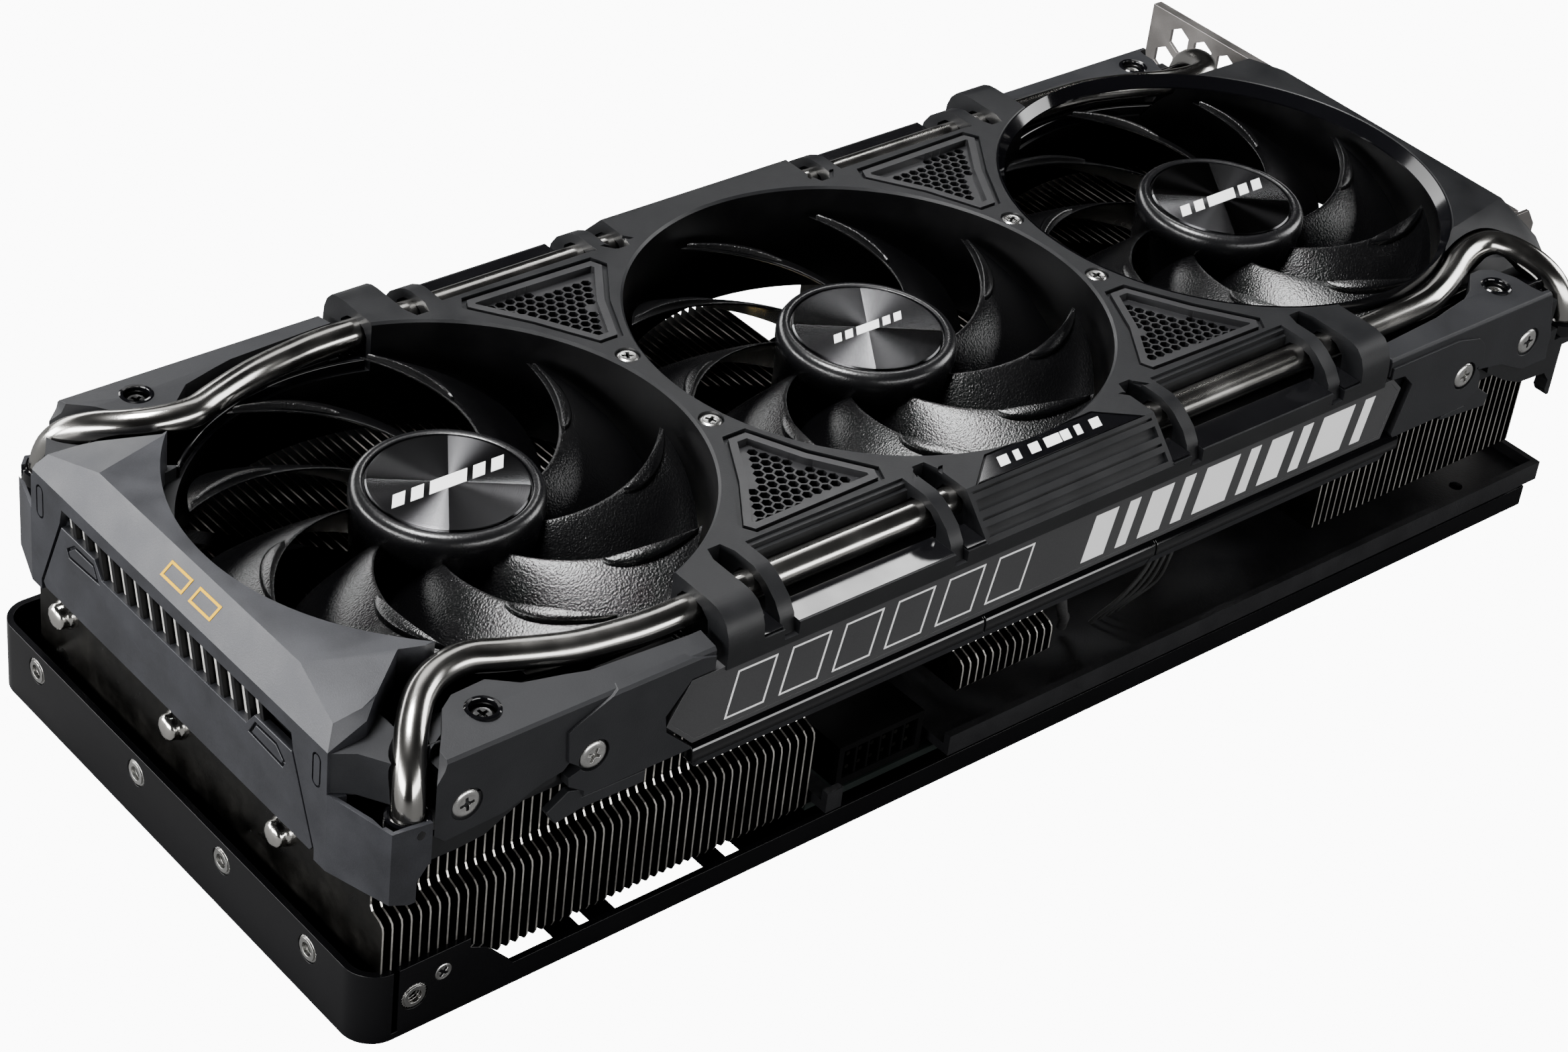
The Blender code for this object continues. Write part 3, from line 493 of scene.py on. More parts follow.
def release(item, name, look, dissolve=1.0, **kw):
    """Turn a working mesh into a finished piece."""
    mesh = item.data
    bpy.data.objects.remove(item, do_unlink=True)
    bm = bmesh.new()
    bm.from_mesh(mesh)
    bmesh.ops.remove_doubles(bm, verts=bm.verts, dist=2e-6)
    bmesh.ops.dissolve_limit(bm, angle_limit=math.radians(dissolve), verts=bm.verts, edges=bm.edges)
    bm.to_mesh(mesh)
    bm.free()
    mesh.materials.clear()
    mesh.name = name
    return dress(mesh, name, look, **kw)


def hull(points):
    """A convex working solid round some points."""
    bm = bmesh.new()
    for point in points:
        bm.verts.new(at(*point))
    result = bmesh.ops.convex_hull(bm, input=bm.verts)
    loose = list({v for v in result["geom_interior"] + result["geom_unused"]
                  if isinstance(v, bmesh.types.BMVert)})
    bmesh.ops.delete(bm, geom=loose, context="VERTS")
    bmesh.ops.dissolve_limit(bm, angle_limit=math.radians(1.5), verts=bm.verts, edges=bm.edges)
    mesh = bpy.data.meshes.new("work")
    bm.to_mesh(mesh)
    bm.free()
    item = bpy.data.objects.new("work", mesh)
    bpy.context.scene.collection.objects.link(item)
    return item


def merge(pieces):
    """Join loose working data: several (points, faces) pairs become one."""
    points, faces = [], []
    for more_points, more_faces in pieces:
        base = len(points)
        points += more_points
        faces += [tuple(base + i for i in face) for face in more_faces]
    return points, faces


def turned(cx, cy, profile, count):
    """Points and faces of a closed (radius, z) profile turned about a vertical axis."""
    points, rings = [], []
    for radius, z in profile:
        if radius == 0.0:
            rings.append([len(points)] * count)
            points.append((cx, cy, z))
        else:
            rings.append(list(range(len(points), len(points) + count)))
            points += [(x, y, z) for x, y in ring_points(cx, cy, radius, count)]
    faces = []
    for k in range(len(profile)):
        low, high = rings[k], rings[(k + 1) % len(profile)]
        if low[0] == low[1] and high[0] == high[1]:
            continue
        for i in range(count):
            j = (i + 1) % count
            face = list(dict.fromkeys((low[i], low[j], high[j], high[i])))
            if len(face) > 2:
                faces.append(tuple(face))
    return points, faces


def lay(data, axis, centre):
    """Turn data made round the vertical axis so that it points inwards from the tail or the front face."""
    points, faces = data
    cx, cy, cz = centre
    if axis == "x":
        return [(cx + z, cy + x, cz + y) for x, y, z in points], faces
    return [(cx + x, cy + z, cz + y) for x, y, z in points], faces


def smooth_path(knots, steps):
    """Catmull-Rom curve through the knots."""
    knots = [Vector(knot) for knot in knots]
    padded = [knots[0] * 2 - knots[1]] + knots + [knots[-1] * 2 - knots[-2]]
    path = []
    for k in range(1, len(padded) - 2):
        a, b, c, d = padded[k - 1:k + 3]
        for i in range(steps):
            t = i / steps
            path.append(0.5 * (2 * b + (c - a) * t + (2 * a - 5 * b + 4 * c - d) * t * t
                               + (3 * b - a - 3 * c + d) * t ** 3))
    return path + [knots[-1]]


def tube_data(path, radius, sides):
    """Points and faces of a tube swept along a path."""
    points, faces, side = [], [], None
    for k, centre in enumerate(path):
        along = (path[min(k + 1, len(path) - 1)] - path[max(k - 1, 0)]).normalized()
        if side is None:
            side = along.cross(Vector((0.31, 0.12, 1.0))).normalized()
        side = (side - along * side.dot(along)).normalized()
        other = along.cross(side)
        for i in range(sides):
            turn = 2.0 * math.pi * i / sides
            points.append(tuple(centre + side * (radius * math.cos(turn))
                                + other * (radius * math.sin(turn))))
    for k in range(len(path) - 1):
        for i in range(sides):
            j = (i + 1) % sides
            faces.append((k * sides + i, k * sides + j, (k + 1) * sides + j, (k + 1) * sides + i))
    last = (len(path) - 1) * sides
    faces += [tuple(range(sides)), tuple(last + i for i in range(sides))]
    return points, faces


def frame_data(outer, line, height, origin, right, up, outward):
    """A thin raised outline laid on any plane."""
    inner = offset(outer, -line)
    count = len(outer)
    points = []
    for level in (-0.02, height):
        for loop in (outer, inner):
            points += [tuple(origin + right * x + up * y + outward * level) for x, y in loop]
    faces = []
    for i in range(count):
        j = (i + 1) % count
        for a, b in ((0, count), (count, 3 * count), (3 * count, 2 * count), (2 * count, 0)):
            faces.append((a + i, a + j, b + j, b + i))
    return points, faces


# ---------------------------------------------------------------- camera, light and floor

CAMERA_AZIMUTH = -0.7723813      # radians round from looking along +Y
CAMERA_ELEVATION = 0.6167132
CAMERA_ROLL = 0.1290082
CAMERA_DISTANCE = 733.0622
CAMERA_SLIDE = (-9.8923, 14.3974)
CAMERA_LENS = 78.62


def set_camera():
    azimuth, elevation, roll = CAMERA_AZIMUTH, CAMERA_ELEVATION, CAMERA_ROLL
    back = Vector((math.sin(azimuth) * math.cos(elevation), -math.cos(azimuth) * math.cos(elevation),
                   math.sin(elevation)))
    right = Vector((0, 0, 1)).cross(back).normalized()
    up = back.cross(right)
    right, up = (right * math.cos(roll) + up * math.sin(roll), up * math.cos(roll) - right * math.sin(roll))
    spot = back * CAMERA_DISTANCE + right * CAMERA_SLIDE[0] + up * CAMERA_SLIDE[1]
    data = bpy.data.cameras.new("camera")
    data.lens = CAMERA_LENS
    data.clip_start = 0.01
    camera = bpy.data.objects.new("camera", data)
    bpy.context.scene.collection.objects.link(camera)
    turn = Matrix((right, up, back)).transposed().to_4x4()
    camera.matrix_world = Matrix.Translation(at(*spot)) @ turn
    bpy.context.scene.camera = camera


def lamp(name, place, aim, size, power):
    """A white rectangular softbox at a place in metres, facing a point."""
    data = bpy.data.lights.new(name, "AREA")
    data.shape = "RECTANGLE"
    data.size, data.size_y = size
    data.energy = power
    item = bpy.data.objects.new(name, data)
    bpy.context.scene.collection.objects.link(item)
    item.location = place
    item.rotation_euler = (Vector(place) - Vector(aim)).to_track_quat("Z", "Y").to_euler()


BACKDROP = 11.0               # brightness that the camera sees behind the card
AMBIENT = 0.008               # and what reaches the card


def pale_world():
    """A near-white backdrop that lights the card only gently, so that the blacks stay deep."""
    world = bpy.data.worlds.new("studio")
    bpy.context.scene.world = world
    world.use_nodes = True
    nodes, links = world.node_tree.nodes, world.node_tree.links
    back = nodes["Background"]
    path = nodes.new("ShaderNodeLightPath")
    level = nodes.new("ShaderNodeMapRange")
    level.inputs["To Min"].default_value = AMBIENT
    level.inputs["To Max"].default_value = BACKDROP
    links.new(path.outputs["Is Camera Ray"], level.inputs["Value"])
    links.new(level.outputs["Result"], back.inputs["Strength"])
    back.inputs["Color"].default_value = (1.0, 1.0, 1.0, 1.0)


def pale_floor():
    half = 6.0
    mesh = bpy.data.meshes.new("floor")
    corners = [(x, y, 0.0) for x, y in rectangle((-half, half), (-half, half))]
    mesh.from_pydata(corners, [], [(0, 1, 2, 3)])
    floor = bpy.data.objects.new("floor", mesh)
    bpy.context.scene.collection.objects.link(floor)
    paper = bpy.data.materials.new("studio_paper")
    paper.use_nodes = True
    nodes, links = paper.node_tree.nodes, paper.node_tree.links
    shader = nodes["Principled BSDF"]
    shader.inputs["Base Color"].default_value = (0.08, 0.08, 0.08, 1.0)
    shader.inputs["Roughness"].default_value = 0.9
    shader.inputs["Specular IOR Level"].default_value = 0.1
    glow = nodes.new("ShaderNodeEmission")
    glow.inputs["Strength"].default_value = BACKDROP
    path = nodes.new("ShaderNodeLightPath")
    mix = nodes.new("ShaderNodeMixShader")
    links.new(path.outputs["Is Camera Ray"], mix.inputs["Fac"])
    links.new(shader.outputs["BSDF"], mix.inputs[1])
    links.new(glow.outputs["Emission"], mix.inputs[2])
    links.new(mix.outputs["Shader"], nodes["Material Output"].inputs["Surface"])
    mesh.materials.append(paper)


def studio():
    set_camera()
    pale_world()
    pale_floor()
    lamp("back_softbox", (0.36, 0.58, 0.95), (0.0, 0.0, 0.05), (0.7, 0.4), 1.6)
    lamp("tail_softbox", (-0.95, -0.05, 0.22), (-0.1, 0.0, 0.05), (0.7, 0.25), 12.0)
    lamp("tail_low_strip", (-0.85, 0.66, 0.2), (-0.1, 0.0, 0.06), (0.5, 0.3), 12.0)
    lamp("overhead_softbox", (-0.2, 0.2, 1.05), (0.0, 0.0, 0.05), (0.45, 0.3), 32.0)
    lamp("ledge_card", (0.49, 0.47, 0.62), (-0.052, -0.06, 0.064), (0.10, 0.10), 0.6)
    lamp("front_strip", (0.15, -0.95, 0.22), (0.0, 0.0, 0.04), (1.1, 0.3), 9.0)
    lamp("bracket_softbox", (1.0, -0.25, 0.4), (0.1, 0.0, 0.04), (0.5, 0.5), 7.0)
    lamp("rear_strip", (-0.15, 1.0, 0.3), (0.0, 0.0, 0.04), (1.0, 0.3), 6.0)


# ---------------------------------------------------------------- fans

BLADE_COUNT = 9
BLADE_STARTS = (31.3, 19.3, 7.0)      # angle where a leading edge leaves each hub
BLADE_R = (17.4, 47.7)
BLADE_SWEEP = 44.5
BLADE_CHORD = (33.0, 36.5)
BLADE_LEAD_Z = (62.0, 65.0)
BLADE_DROP = (13.0, 12.0)
BLADE_CAMBER = 1.6
BLADE_THICK = 1.3
HUB_PROFILE = [(0.0, 66.7), (15.75, 66.7), (15.9, 67.4), (16.3, 67.6), (17.2, 67.5), (17.9, 67.1),
               (18.4, 66.3), (18.6, 65.2), (18.6, 63.6), (18.15, 62.9), (18.0, 48.6), (17.8, 48.4),
               (17.1, 48.4), (17.0, 48.6), (17.0, 64.9), (3.2, 64.9), (3.2, 48.2), (1.8, 47.9), (0.0, 47.9)]
DISC_PROFILE = [(0.0, 67.6), (14.6, 67.6), (15.2, 67.5), (15.5, 67.2), (15.55, 66.75), (0.0, 66.75)]


def mixed(pair, share):
    return pair[0] + (pair[1] - pair[0]) * share


def blade_spot(share, chord, start, lift):
    """A point on a blade: share runs from hub to tip, chord from leading to trailing edge."""
    radius = mixed(BLADE_R, share)
    turn = start + BLADE_SWEEP * share - mixed(BLADE_CHORD, share) * chord
    z = (mixed(BLADE_LEAD_Z, share) - mixed(BLADE_DROP, share) * chord ** 0.92
         + 4.0 * BLADE_CAMBER * chord * (1.0 - chord) + lift)
    return radius * math.cos(math.radians(turn)), radius * math.sin(math.radians(turn)), z


def blade_data(start, steps=20, across=14):
    """A closed cambered blade with thinned, rounded edges."""
    points, faces = [], []
    for side in (0.5, -0.5):
        for i in range(steps + 1):
            share = i / steps
            for j in range(across + 1):
                chord = 0.5 - 0.5 * math.cos(math.pi * j / across)
                thick = BLADE_THICK * (0.18 + 0.82 * math.sqrt(max(0.0, 1.0 - (2.0 * chord - 1.0) ** 4)))
                thick *= 1.0 if share < 0.97 else 0.75
                points.append(blade_spot(share, chord, start, side * thick))
    row = across + 1
    lower = (steps + 1) * row
    for i in range(steps):
        for j in range(across):
            a = i * row + j
            faces.append((a, a + 1, a + row + 1, a + row))
            faces.append((lower + a, lower + a + row, lower + a + row + 1, lower + a + 1))
    for i in range(steps):
        for j in (0, across):
            a = i * row + j
            faces.append((a, a + row, lower + a + row, lower + a))
    for j in range(across):
        for i in (0, steps):
            a = i * row + j
            faces.append((a, lower + a, lower + a + 1, a + 1))
    return points, faces


WINGLET_SHARE = (0.53, 0.985)
WINGLET_WIDTH = 3.4
WINGLET_HEIGHT = 1.25


def winglet_data(start, steps=22):
    """The raised lens-shaped ridge behind a blade's leading edge, out towards the tip."""
    points, faces = [], []
    for i in range(steps + 1):
        u = i / steps
        share = mixed(WINGLET_SHARE, u)
        radius = mixed(BLADE_R, share)
        bulge = math.sin(math.pi * min(1.0, u * 0.93 + 0.03)) ** 0.75
        span = math.radians(mixed(BLADE_CHORD, share)) * radius
        near = 0.7
        far = near + 0.35 + WINGLET_WIDTH * bulge
        high = 0.5 * BLADE_THICK + WINGLET_HEIGHT * (0.25 + 0.75 * bulge)
        for offset, lift in ((near, 0.1), (near + 0.12, high - 0.25), (near + 0.4, high),
                             (0.5 * (near + far), high + 0.12), (far - 0.4, high), (far - 0.12, high - 0.25),
                             (far, 0.1)):
            points.append(blade_spot(share, offset / span, start, lift))
    row = 7
    for i in range(steps):
        for j in range(row):
            k = (j + 1) % row
            faces.append((i * row + j, i * row + k, (i + 1) * row + k, (i + 1) * row + j))
    faces += [tuple(range(row)), tuple(steps * row + j for j in range(row))]
    return points, faces


def shifted(data, dx, dy=0.0, dz=0.0):
    return [(x + dx, y + dy, z + dz) for x, y, z in data[0]], data[1]


def build_rotors():
    for index, (axis_x, start) in enumerate(zip(FANS, BLADE_STARTS), 1):
        origin = at(axis_x, 0, 0)
        body = f"fan_{index}"
        hub = turned(axis_x, 0.0, HUB_PROFILE, 96)
        parts = [hub]
        for blade in range(BLADE_COUNT):
            angle = start + 360.0 * blade / BLADE_COUNT
            parts.append(shifted(blade_data(angle), axis_x))
            parts.append(shifted(winglet_data(angle), axis_x))
        rotor = make(f"fan_rotor_{index}", *merge(parts), fan_black(), body=body, slot="fan_plastic",
                     angle=38.0, origin=origin)
        rotor.data.materials.append(hub_black())
        hub_faces = len(hub[1])
        for face in rotor.data.polygons[:hub_faces]:
            face.material_index = 1
        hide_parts(f"rotor_{index}")
        disc = make(f"spun_disc_{index}", *turned(axis_x, 0.0, DISC_PROFILE, 128), spun_metal(), body=body,
                    slot="disc_metal", angle=20.0, origin=origin)
        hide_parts(f"hub_disc_{index}")
        hub_mark(index, axis_x, body, origin)


HUB_MARK_BARS = ((-12.6, -9.8), (-8.4, -5.6), (-4.2, 4.2), (5.6, 8.4), (9.8, 12.6))


def hub_mark(index, axis_x, body, origin):
    """A plain row of slanted bars across the disc."""
    half, lean = 1.7, 1.3
    size = 0.72 if index == 2 else 1.0
    parts = []
    for low, high in HUB_MARK_BARS:
        outline = leaning(axis_x + size * (low - lean), axis_x + size * (high - lean), -half * size,
                          half * size, 2.0 * lean * size)
        parts.append(prism_data(outline, "z", 67.55, 67.68))
    make(f"hub_mark_{index}", *merge(parts), white_mark(), body=body, slot="disc_metal", origin=origin)


# ---------------------------------------------------------------- heat sink

FIN_FRONT_EDGE = [(-53.6, 45.0), (-54.1, 44.5), (-54.1, 29.6), (-54.7, 28.5), (-57.0, 27.7), (-57.9, 26.9),
                  (-58.1, 25.8)]
FIN_TAIL = [(58.0, 45.0)] + FIN_FRONT_EDGE + [(-58.1, 9.4), (-57.5, 8.0), (-56.1, 7.4), (56.6, 7.4),
                                             (58.0, 8.8)]
FIN_LOBE = [(-36.4, 45.0)] + FIN_FRONT_EDGE + [(-58.1, 21.4), (-57.2, 20.2), (-36.4, 20.2)]
FIN_MIDDLE = [(52.0, 45.0), (-36.0, 45.0), (-36.0, 14.6), (52.0, 14.6)]
FIN_NOTCHED = [(33.0, 45.0), (-36.0, 45.0), (-36.0, 14.6), (50.0, 14.6), (50.0, 26.0)]    # lets light past
FIN_BRACKET = [(54.0, 45.0), (-57.6, 45.0), (-58.1, 44.5), (-58.1, 21.4), (-57.2, 20.4), (54.0, 20.4)]
FIN_BANKS = (
    ("fin_bank_tail", "fin_stack_tail", FIN_TAIL, (-156.8, -57.8)),
    ("fin_bank_lobe", "fin_stack_lobe", FIN_LOBE, (-19.2, 6.4)),
    ("fin_bank_middle", "fin_stack_middle", FIN_MIDDLE, (-55.0, 4.4)),
    ("fin_bank_notched", "fin_stack_middle", FIN_NOTCHED, (5.6, 29.4)),
    ("fin_bank_core", "fin_stack_middle", FIN_MIDDLE, (29.9, 80.4)),
    ("fin_bank_bracket", "fin_stack_bracket", FIN_BRACKET, (83.8, 149.0)),
)


def build_fins():
    """Banks of pressed sheets of one metal: the broad faces get a near-black copy of it as painted shade
    between the close sheets, and the edges keep the bright metal.
    """
    for name, node, outline, (low, high) in FIN_BANKS:
        places = [low + i * FIN_PITCH for i in range(int((high - low) / FIN_PITCH) + 1)]
        parts = [prism_data(outline, "x", x, x + FIN_SHEET) for x in places]
        bank = make(name, *merge(parts), fin_dark(), slot="fin_metal", angle=20.0)
        bank.data.materials.append(fin_edge())
        for face in bank.data.polygons:
            # Faces across X take the painted shade, all other faces the bright edge metal.
            face.material_index = 0 if abs(face.normal.x) > 0.5 else 1
        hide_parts(node)


def build_pipes():
    """Heat pipes running through the fins, with pinched and sealed tail ends."""
    tail, end = -160.6, 142.0
    profile = [(0.0, tail), (1.5, tail + 0.1), (2.3, tail + 0.5), (2.7, tail + 1.2), (2.6, tail + 1.9),
               (2.9, tail + 2.4), (PIPE_R, tail + 3.0), (PIPE_R, end - 3.0), (2.6, end - 1.2), (1.2, end),
               (0.0, end)]
    for index, y in enumerate(PIPE_Y, 1):
        points, faces = turned(0.0, 0.0, profile, 40)
        made = [(z, y + a, PIPE_Z + b) for a, b, z in points]
        pipe = make(f"sealed_pipe_{index}", made, faces, pipe_bright(), slot="pipe_nickel", angle=40.0)
        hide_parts(f"heat_pipe_{index}")


# ---------------------------------------------------------------- shroud

DECK_HALF_PROFILE = [(64.4, 59.5), (64.4, 63.4), (64.05, 66.2), (63.1, 68.5), (61.6, 70.1), (59.8, 70.8),
                     (57.7, 71.0)]
RIB_PROFILE = [(53.3, 71.1), (55.6, 70.5), (57.8, 69.4), (60.7, 67.2), (62.5, 64.6), (63.2, 60.8)]
TOP = 76.0                   # cutters reach above the deck
OUT = 70.0                   # and past the sides
BLOCK_HALF = 24.6            # the solid block between the inner slots
POCKET = [(70.0, 43.2), (68.0, 46.4), (36.2, 45.8), (34.6, 42.2), (42.6, 30.8), (48.4, 18.9), (54.0, 18.9),
          (61.4, 31.4)]
QUARTERS = [(sx, sy) for sx in SIDES for sy in SIDES]
BRIDGE_SCREWS = ((-51.95, 13.0), (-51.95, -13.0), (51.95, 13.0), (51.95, -13.0))


def window_cutters(side):
    """The long openings over the rail, the slots between arch and rib, and the tunnel under them."""
    cutters = []
    for flip in SIDES:
        xs = sorted((flip * RIB_IN[1], flip * RIB_OUT[0]))
        profile = [(INNER_Y + 0.9, TROUGH_Z), (TROUGH_Y, TROUGH_Z), (TROUGH_Y + 0.3, LEDGE_Z - 0.2),
                   (TROUGH_Y + 0.8, LEDGE_Z), (OUT, LEDGE_Z), (OUT, TOP), (INNER_Y - 1.6, TOP),
                   (INNER_Y - 1.6, 70.4), (INNER_Y - 0.6, 70.4), (INNER_Y - 0.6, 69.5), (INNER_Y + 0.2, 69.3)]
        cutters.append(prism(flipped(profile, side), "x", *xs))
        for low, high in ((SLOT_IN, RIB_IN[0]), (RIB_OUT[1], ARCH_END)):
            xs = sorted((flip * low, flip * high))
            middle = sum(xs) / 2
            plan = [(xs[0], side * OUT), (xs[0], side * (INNER_Y - 0.4)), (middle - 1.5, side * 45.6),
                    (middle + 1.5, side * 45.6), (xs[1], side * (INNER_Y - 0.4)), (xs[1], side * OUT)]
            cutters.append(prism(plan, "z", LEDGE_Z - 0.4, TOP))
            cutters.append(block(xs, across(side, INNER_Y, TROUGH_Y), (TROUGH_Z - 1.4, TOP)))
        for low, high in (RIB_IN, RIB_OUT):
            xs = sorted((flip * (low - 0.05), flip * (high + 0.05)))
            above_rib = RIB_PROFILE + [(OUT, 60.8), (OUT, TOP), (53.3, TOP)]
            cutters.append(prism(flipped(above_rib, side), "x", *xs))
        tunnel = [(49.2, TROUGH_Z), (57.0, TROUGH_Z), (58.4, 64.0), (58.0, 66.6), (56.0, 68.3), (53.0, 69.0),
                  (50.4, 68.4), (49.2, 66.8)]
        xs = sorted((flip * BLOCK_HALF, flip * (DECK_X + 3.0)))
        cutters.append(prism(flipped(tunnel, side), "x", *xs))
    return cutters


def block_cutters():
    """Slanted faces of the middle blocks, with long grooves on the front one."""
    cutters = []
    slant = [(56.4, 71.2), (64.6, 62.6), (OUT, 62.6), (OUT, TOP), (56.4, TOP)]
    for side in SIDES:
        cutters.append(prism(flipped(slant, side), "x", -BLOCK_HALF - 0.6, BLOCK_HALF + 0.6))
    down = Vector((64.6 - 56.4, 62.6 - 71.2)).normalized()
    inward = Vector((down.y, -down.x))
    for along, width, depth in ((1.2, 0.5, 0.5), (3.0, 2.2, 0.8), (6.6, 0.5, 0.5), (8.4, 2.0, 0.7)):
        corner = Vector((56.4, 71.2)) + down * along
        spots = [corner - inward * 2.0, corner + inward * depth, corner + down * width + inward * depth,
                 corner + down * width - inward * 2.0]
        cutters.append(prism([(-p.x, p.y) for p in spots], "x", -BLOCK_HALF + 0.5, BLOCK_HALF - 0.5))
    for flip in SIDES:
        for step in range(3):
            x = flip * (23.6 + 2.4 * step)
            cutters.append(prism([(x, -48.2 + step * 0.9), (x + flip * 1.2, -48.2 + step * 0.9),
                                  (x + flip * 3.4, -50.6 + step * 0.9), (x + flip * 2.2, -50.6 + step * 0.9)],
                                 "z", DECK_Z - 0.6, TOP))
            cutters.append(prism([(x, 47.4 - step * 0.8), (x + flip * 1.2, 47.4 - step * 0.8),
                                  (x + flip * 3.4, 50.0 - step * 0.8), (x + flip * 2.2, 50.0 - step * 0.8)],
                                 "z", DECK_Z - 0.6, TOP))
    return cutters


BADGE = [(-21.8, -56.3), (21.8, -56.3), (14.2, -50.2), (-14.2, -50.2)]
END_TOP = [(100.0, -38.0), (136.5, -39.4), (155.6, -36.2), (155.4, 0.0), (155.8, 30.4), (152.6, 38.8),
           (141.0, 38.8), (100.0, 40.0)]
END_BASE = [(100.0, -45.0), (141.0, -46.4), (152.0, -47.0), (158.4, -40.0), (159.6, -34.0), (159.8, 31.0),
            (157.6, 42.0), (142.0, 46.0), (100.0, 45.0)]
END_FRONT = [(158.4, -45.6, 65.2), (154.4, -51.4, 64.6), (154.6, -52.0, 59.0), (159.4, -46.0, 59.0),
             (141.0, -46.4, 63.0)]
RING_LIP = [(50.1, 70.95), (49.9, 70.95), (48.3, 68.5), (48.3, 68.1), (50.1, 67.2)]


SKIRT_BRACKET = [(126.4, 49.6), (133.8, 45.2), (139.6, 42.7), (148.5, 42.1), (150.7, 39.5), (150.4, 37.1),
                 (151.5, 35.4), (152.4, 35.3), (152.4, 53.6), (126.0, 53.6)]
SKIRT_TAIL = [(-152.0, 44.0), (-145.6, 43.9), (-139.8, 44.4), (-134.9, 47.0), (-131.2, 48.8), (-125.0, 49.6),
              (-124.0, 55.0), (-152.0, 55.0)]


def paint_wall_shade(mesh):
    """Painted shade: the upright walls of the fan openings get a darker copy of the shroud plastic, standing
    in for the shade inside them.
    """
    mesh.materials.append(ring_painted_shade())
    centres = [at(x, 0.0, 0.0).to_2d() for x in FANS]
    for face in mesh.polygons:
        radius = min((face.center.to_2d() - centre).length for centre in centres) * 1000.0
        if abs(face.normal.z) < 0.4 and radius < FAN_OPENING_R + 0.4:
            face.material_index = 1


def build_shroud():
    """Deck with its fan openings, windows and pockets, on a frame with a faceted bracket end."""
    profile = flipped(DECK_HALF_PROFILE, -1.0) + list(reversed(DECK_HALF_PROFILE))
    shroud = prism(profile, "x", -DECK_X, DECK_X)
    add(shroud, block(FRAME_X, (-FRAME_Y, FRAME_Y), FRAME_Z),
        hull([(x, y, DECK_Z) for x, y in END_TOP] + [(x, y, 59.0) for x, y in END_BASE] + END_FRONT),
        *[prism(skirt, "y", *across(side, 60.0, 63.2)) for skirt in (SKIRT_BRACKET, SKIRT_TAIL)
          for side in SIDES])
    cutters = [frustum(x, 0.0, FAN_OPENING_R, 40.0, FAN_OPENING_R, TOP, 160) for x in FANS]
    for side in SIDES:
        path = smooth_path(rail_knots(side)[19:28], 5)
        cutters.append(plain("work", *tube_data(path, 3.7, 28)))
    for x in FANS:
        cutters.append(frustum(x, 0.0, FAN_OPENING_R, DECK_Z - 0.5, FAN_OPENING_R + 1.0, DECK_Z + 0.5, 160))
    for side in SIDES:
        cutters += window_cutters(side)
        for xs in ((-156.0, -147.8), (148.9, 165.0)):
            cutters.append(block(xs, across(side, 52.6, 66.0), (50.6, 80.0)))
    cutters += block_cutters()
    for x, y in BRIDGE_SCREWS:
        cutters.append(frustum(x, y, 2.5, DECK_Z - 1.0, 2.7, DECK_Z + 1.0, 40))
    cutters.append(prism(offset(BADGE, 0.35), "z", DECK_Z - 0.6, TOP))
    for sx, sy in QUARTERS:
        shape = flipped(POCKET, sx, sy)
        cutters += [prism(shape, "z", DECK_Z - 0.9, TOP), prism(offset(shape, -1.0), "z", DECK_Z - 2.8, TOP),
                    prism(offset(shape, -3.0), "z", 40.0, TOP)]
    cut(shroud, *cutters)
    shell = release(shroud, "shroud_shell", shroud_black(), bevel=0.32, angle=28.0)
    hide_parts("shroud")
    # The walls of the fan openings get painted shade.
    paint_wall_shade(shell.data)
    make("ring_lip", *turned(FANS[2], 0.0, RING_LIP, 160), gloss_black(), slot="gloss_plastic", angle=30.0)


HEX_PITCH = 2.35
HEX_WALL = 0.42


def build_mesh_inserts():
    """Framed honeycomb grilles in the four pockets between the fans."""
    spots = [(33.0 + HEX_PITCH * (column + 0.5 * (row % 2)), 18.0 + HEX_PITCH * 0.866 * row)
             for row in range(14) for column in range(20)]
    spots = [spot for spot in spots if inside(*spot, offset(POCKET, -3.7))]
    cell_r = (HEX_PITCH - HEX_WALL) / 1.732
    for index, (sx, sy) in enumerate(QUARTERS, 1):
        shape = flipped(POCKET, sx, sy)
        grille = prism(offset(shape, -1.1), "z", DECK_Z - 2.7, DECK_Z - 0.1)
        cells = [prism_data(ring_points(sx * x, sy * y, cell_r, 6, 30.0), "z", 60.0, TOP) for x, y in spots]
        cut(grille, prism(offset(shape, -2.7), "z", DECK_Z - 1.7, TOP), plain("work", *merge(cells)))
        piece = release(grille, f"honeycomb_insert_{index}", inner_grey(), slot="mesh_plastic", bevel=0.12)
        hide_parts(f"mesh_insert_{index}")


def build_badge():
    plate = release(prism(BADGE, "z", DECK_Z - 0.55, DECK_Z - 0.05), "deck_badge", gloss_black(),
                    slot="gloss_plastic", bevel=0.15)
    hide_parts("name_badge")
    parts = []
    for k, width in enumerate((2.6, 1.6, 2.6, 4.4, 2.6, 1.6, 2.6)):
        x = -13.6 + 4.1 * k
        low, high = DECK_Z - 0.08, DECK_Z - 0.02
        parts.append(prism_data(leaning(x - 0.7, x - 0.7 + width, -54.6, -51.8, 1.4), "z", low, high))
    make("badge_mark", *merge(parts), white_mark(), slot="gloss_plastic")


# ---------------------------------------------------------------- rails

